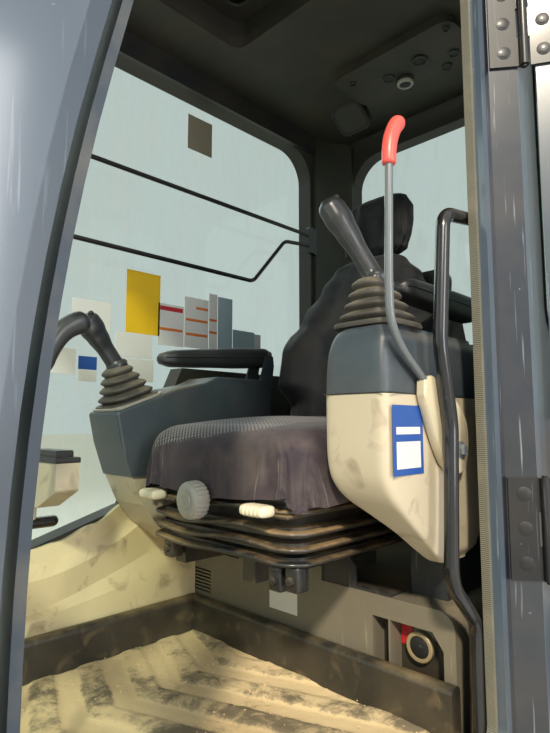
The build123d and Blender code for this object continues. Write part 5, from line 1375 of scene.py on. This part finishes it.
floor_mesh = bpy.data.meshes.new("studio floor")
reach = 30.0
floor_mesh.from_pydata([(-reach, -reach, -0.002), (reach, -reach, -0.002), (reach, reach, -0.002),
                        (-reach, reach, -0.002)], [], [(0, 1, 2, 3)])
floor_mesh.materials.append(flat_finish("pale studio floor", "#d9d8d4"))
studio_floor = bpy.data.objects.new("studio_floor", floor_mesh)
bpy.context.scene.collection.objects.link(studio_floor)

world = bpy.data.worlds.new("studio")
bpy.context.scene.world = world
world.use_nodes = True
world.node_tree.nodes.clear()
path = world.node_tree.nodes.new("ShaderNodeLightPath")
light_sky = world.node_tree.nodes.new("ShaderNodeBackground")
light_sky.inputs["Color"].default_value = linear("#dfe6ee")
light_sky.inputs["Strength"].default_value = 0.55
seen_sky = world.node_tree.nodes.new("ShaderNodeBackground")
seen_sky.inputs["Color"].default_value = linear("#e9edf0")
seen_sky.inputs["Strength"].default_value = 1.0
direct = world.node_tree.nodes.new("ShaderNodeMath")
direct.operation = "MAXIMUM"
direct_too = world.node_tree.nodes.new("ShaderNodeMath")
direct_too.operation = "MAXIMUM"
mixed = world.node_tree.nodes.new("ShaderNodeMixShader")
out = world.node_tree.nodes.new("ShaderNodeOutputWorld")
join = world.node_tree.links.new
join(path.outputs["Is Camera Ray"], direct.inputs[0])
join(path.outputs["Is Glossy Ray"], direct.inputs[1])
join(direct.outputs[0], direct_too.inputs[0])
join(path.outputs["Is Transmission Ray"], direct_too.inputs[1])
join(direct_too.outputs[0], mixed.inputs[0])
join(light_sky.outputs["Background"], mixed.inputs[1])
join(seen_sky.outputs["Background"], mixed.inputs[2])
join(mixed.outputs["Shader"], out.inputs["Surface"])


def lamp(name, kind, energy, place, aim, size, colour="#ffffff", height=None):
    """A lamp at place that looks at aim; a softbox is square unless its height is given."""
    light = bpy.data.lights.new(name, kind)
    light.energy = energy
    light.color = linear(colour)[:3]
    if kind == "AREA":
        light.shape = "RECTANGLE"
        light.size = size
        light.size_y = height or size
    else:
        light.angle = size
    made = bpy.data.objects.new(name, light)
    made.location = place
    made.rotation_euler = (Vector(aim) - Vector(place)).to_track_quat("-Z", "Y").to_euler()
    bpy.context.scene.collection.objects.link(made)


lamp("sun", "SUN", 4.0, (2.2, -2.6, 3.2), (0, 0, 0.6), math.radians(5), "#fff2dc")
lamp("door_softbox", "AREA", 45, (3.2, -0.3, 1.5), (0, 0, 0.9), 0.8, height=2.2)
lamp("front_softbox", "AREA", 40, (-0.5, -3.2, 1.6), (0, 0, 0.7), 2.4)
lamp("roof_softbox", "AREA", 60, (-2.6, 0.6, 3.0), (0, 0, 0.8), 2.6)

camera_place = (0.87, -0.88, 0.63)
camera_heading = 44.7
camera_tilt = 5.9
eye = bpy.data.cameras.new("photo_camera")
eye.sensor_width = 36.0
eye.lens = 27.0
eye.clip_start = 0.02
camera = bpy.data.objects.new("photo_camera", eye)
camera.location = camera_place
camera.rotation_euler = (math.radians(90 + camera_tilt), 0, math.radians(camera_heading))
bpy.context.scene.collection.objects.link(camera)
bpy.context.scene.camera = camera
bpy.context.scene.view_settings.view_transform = "Standard"
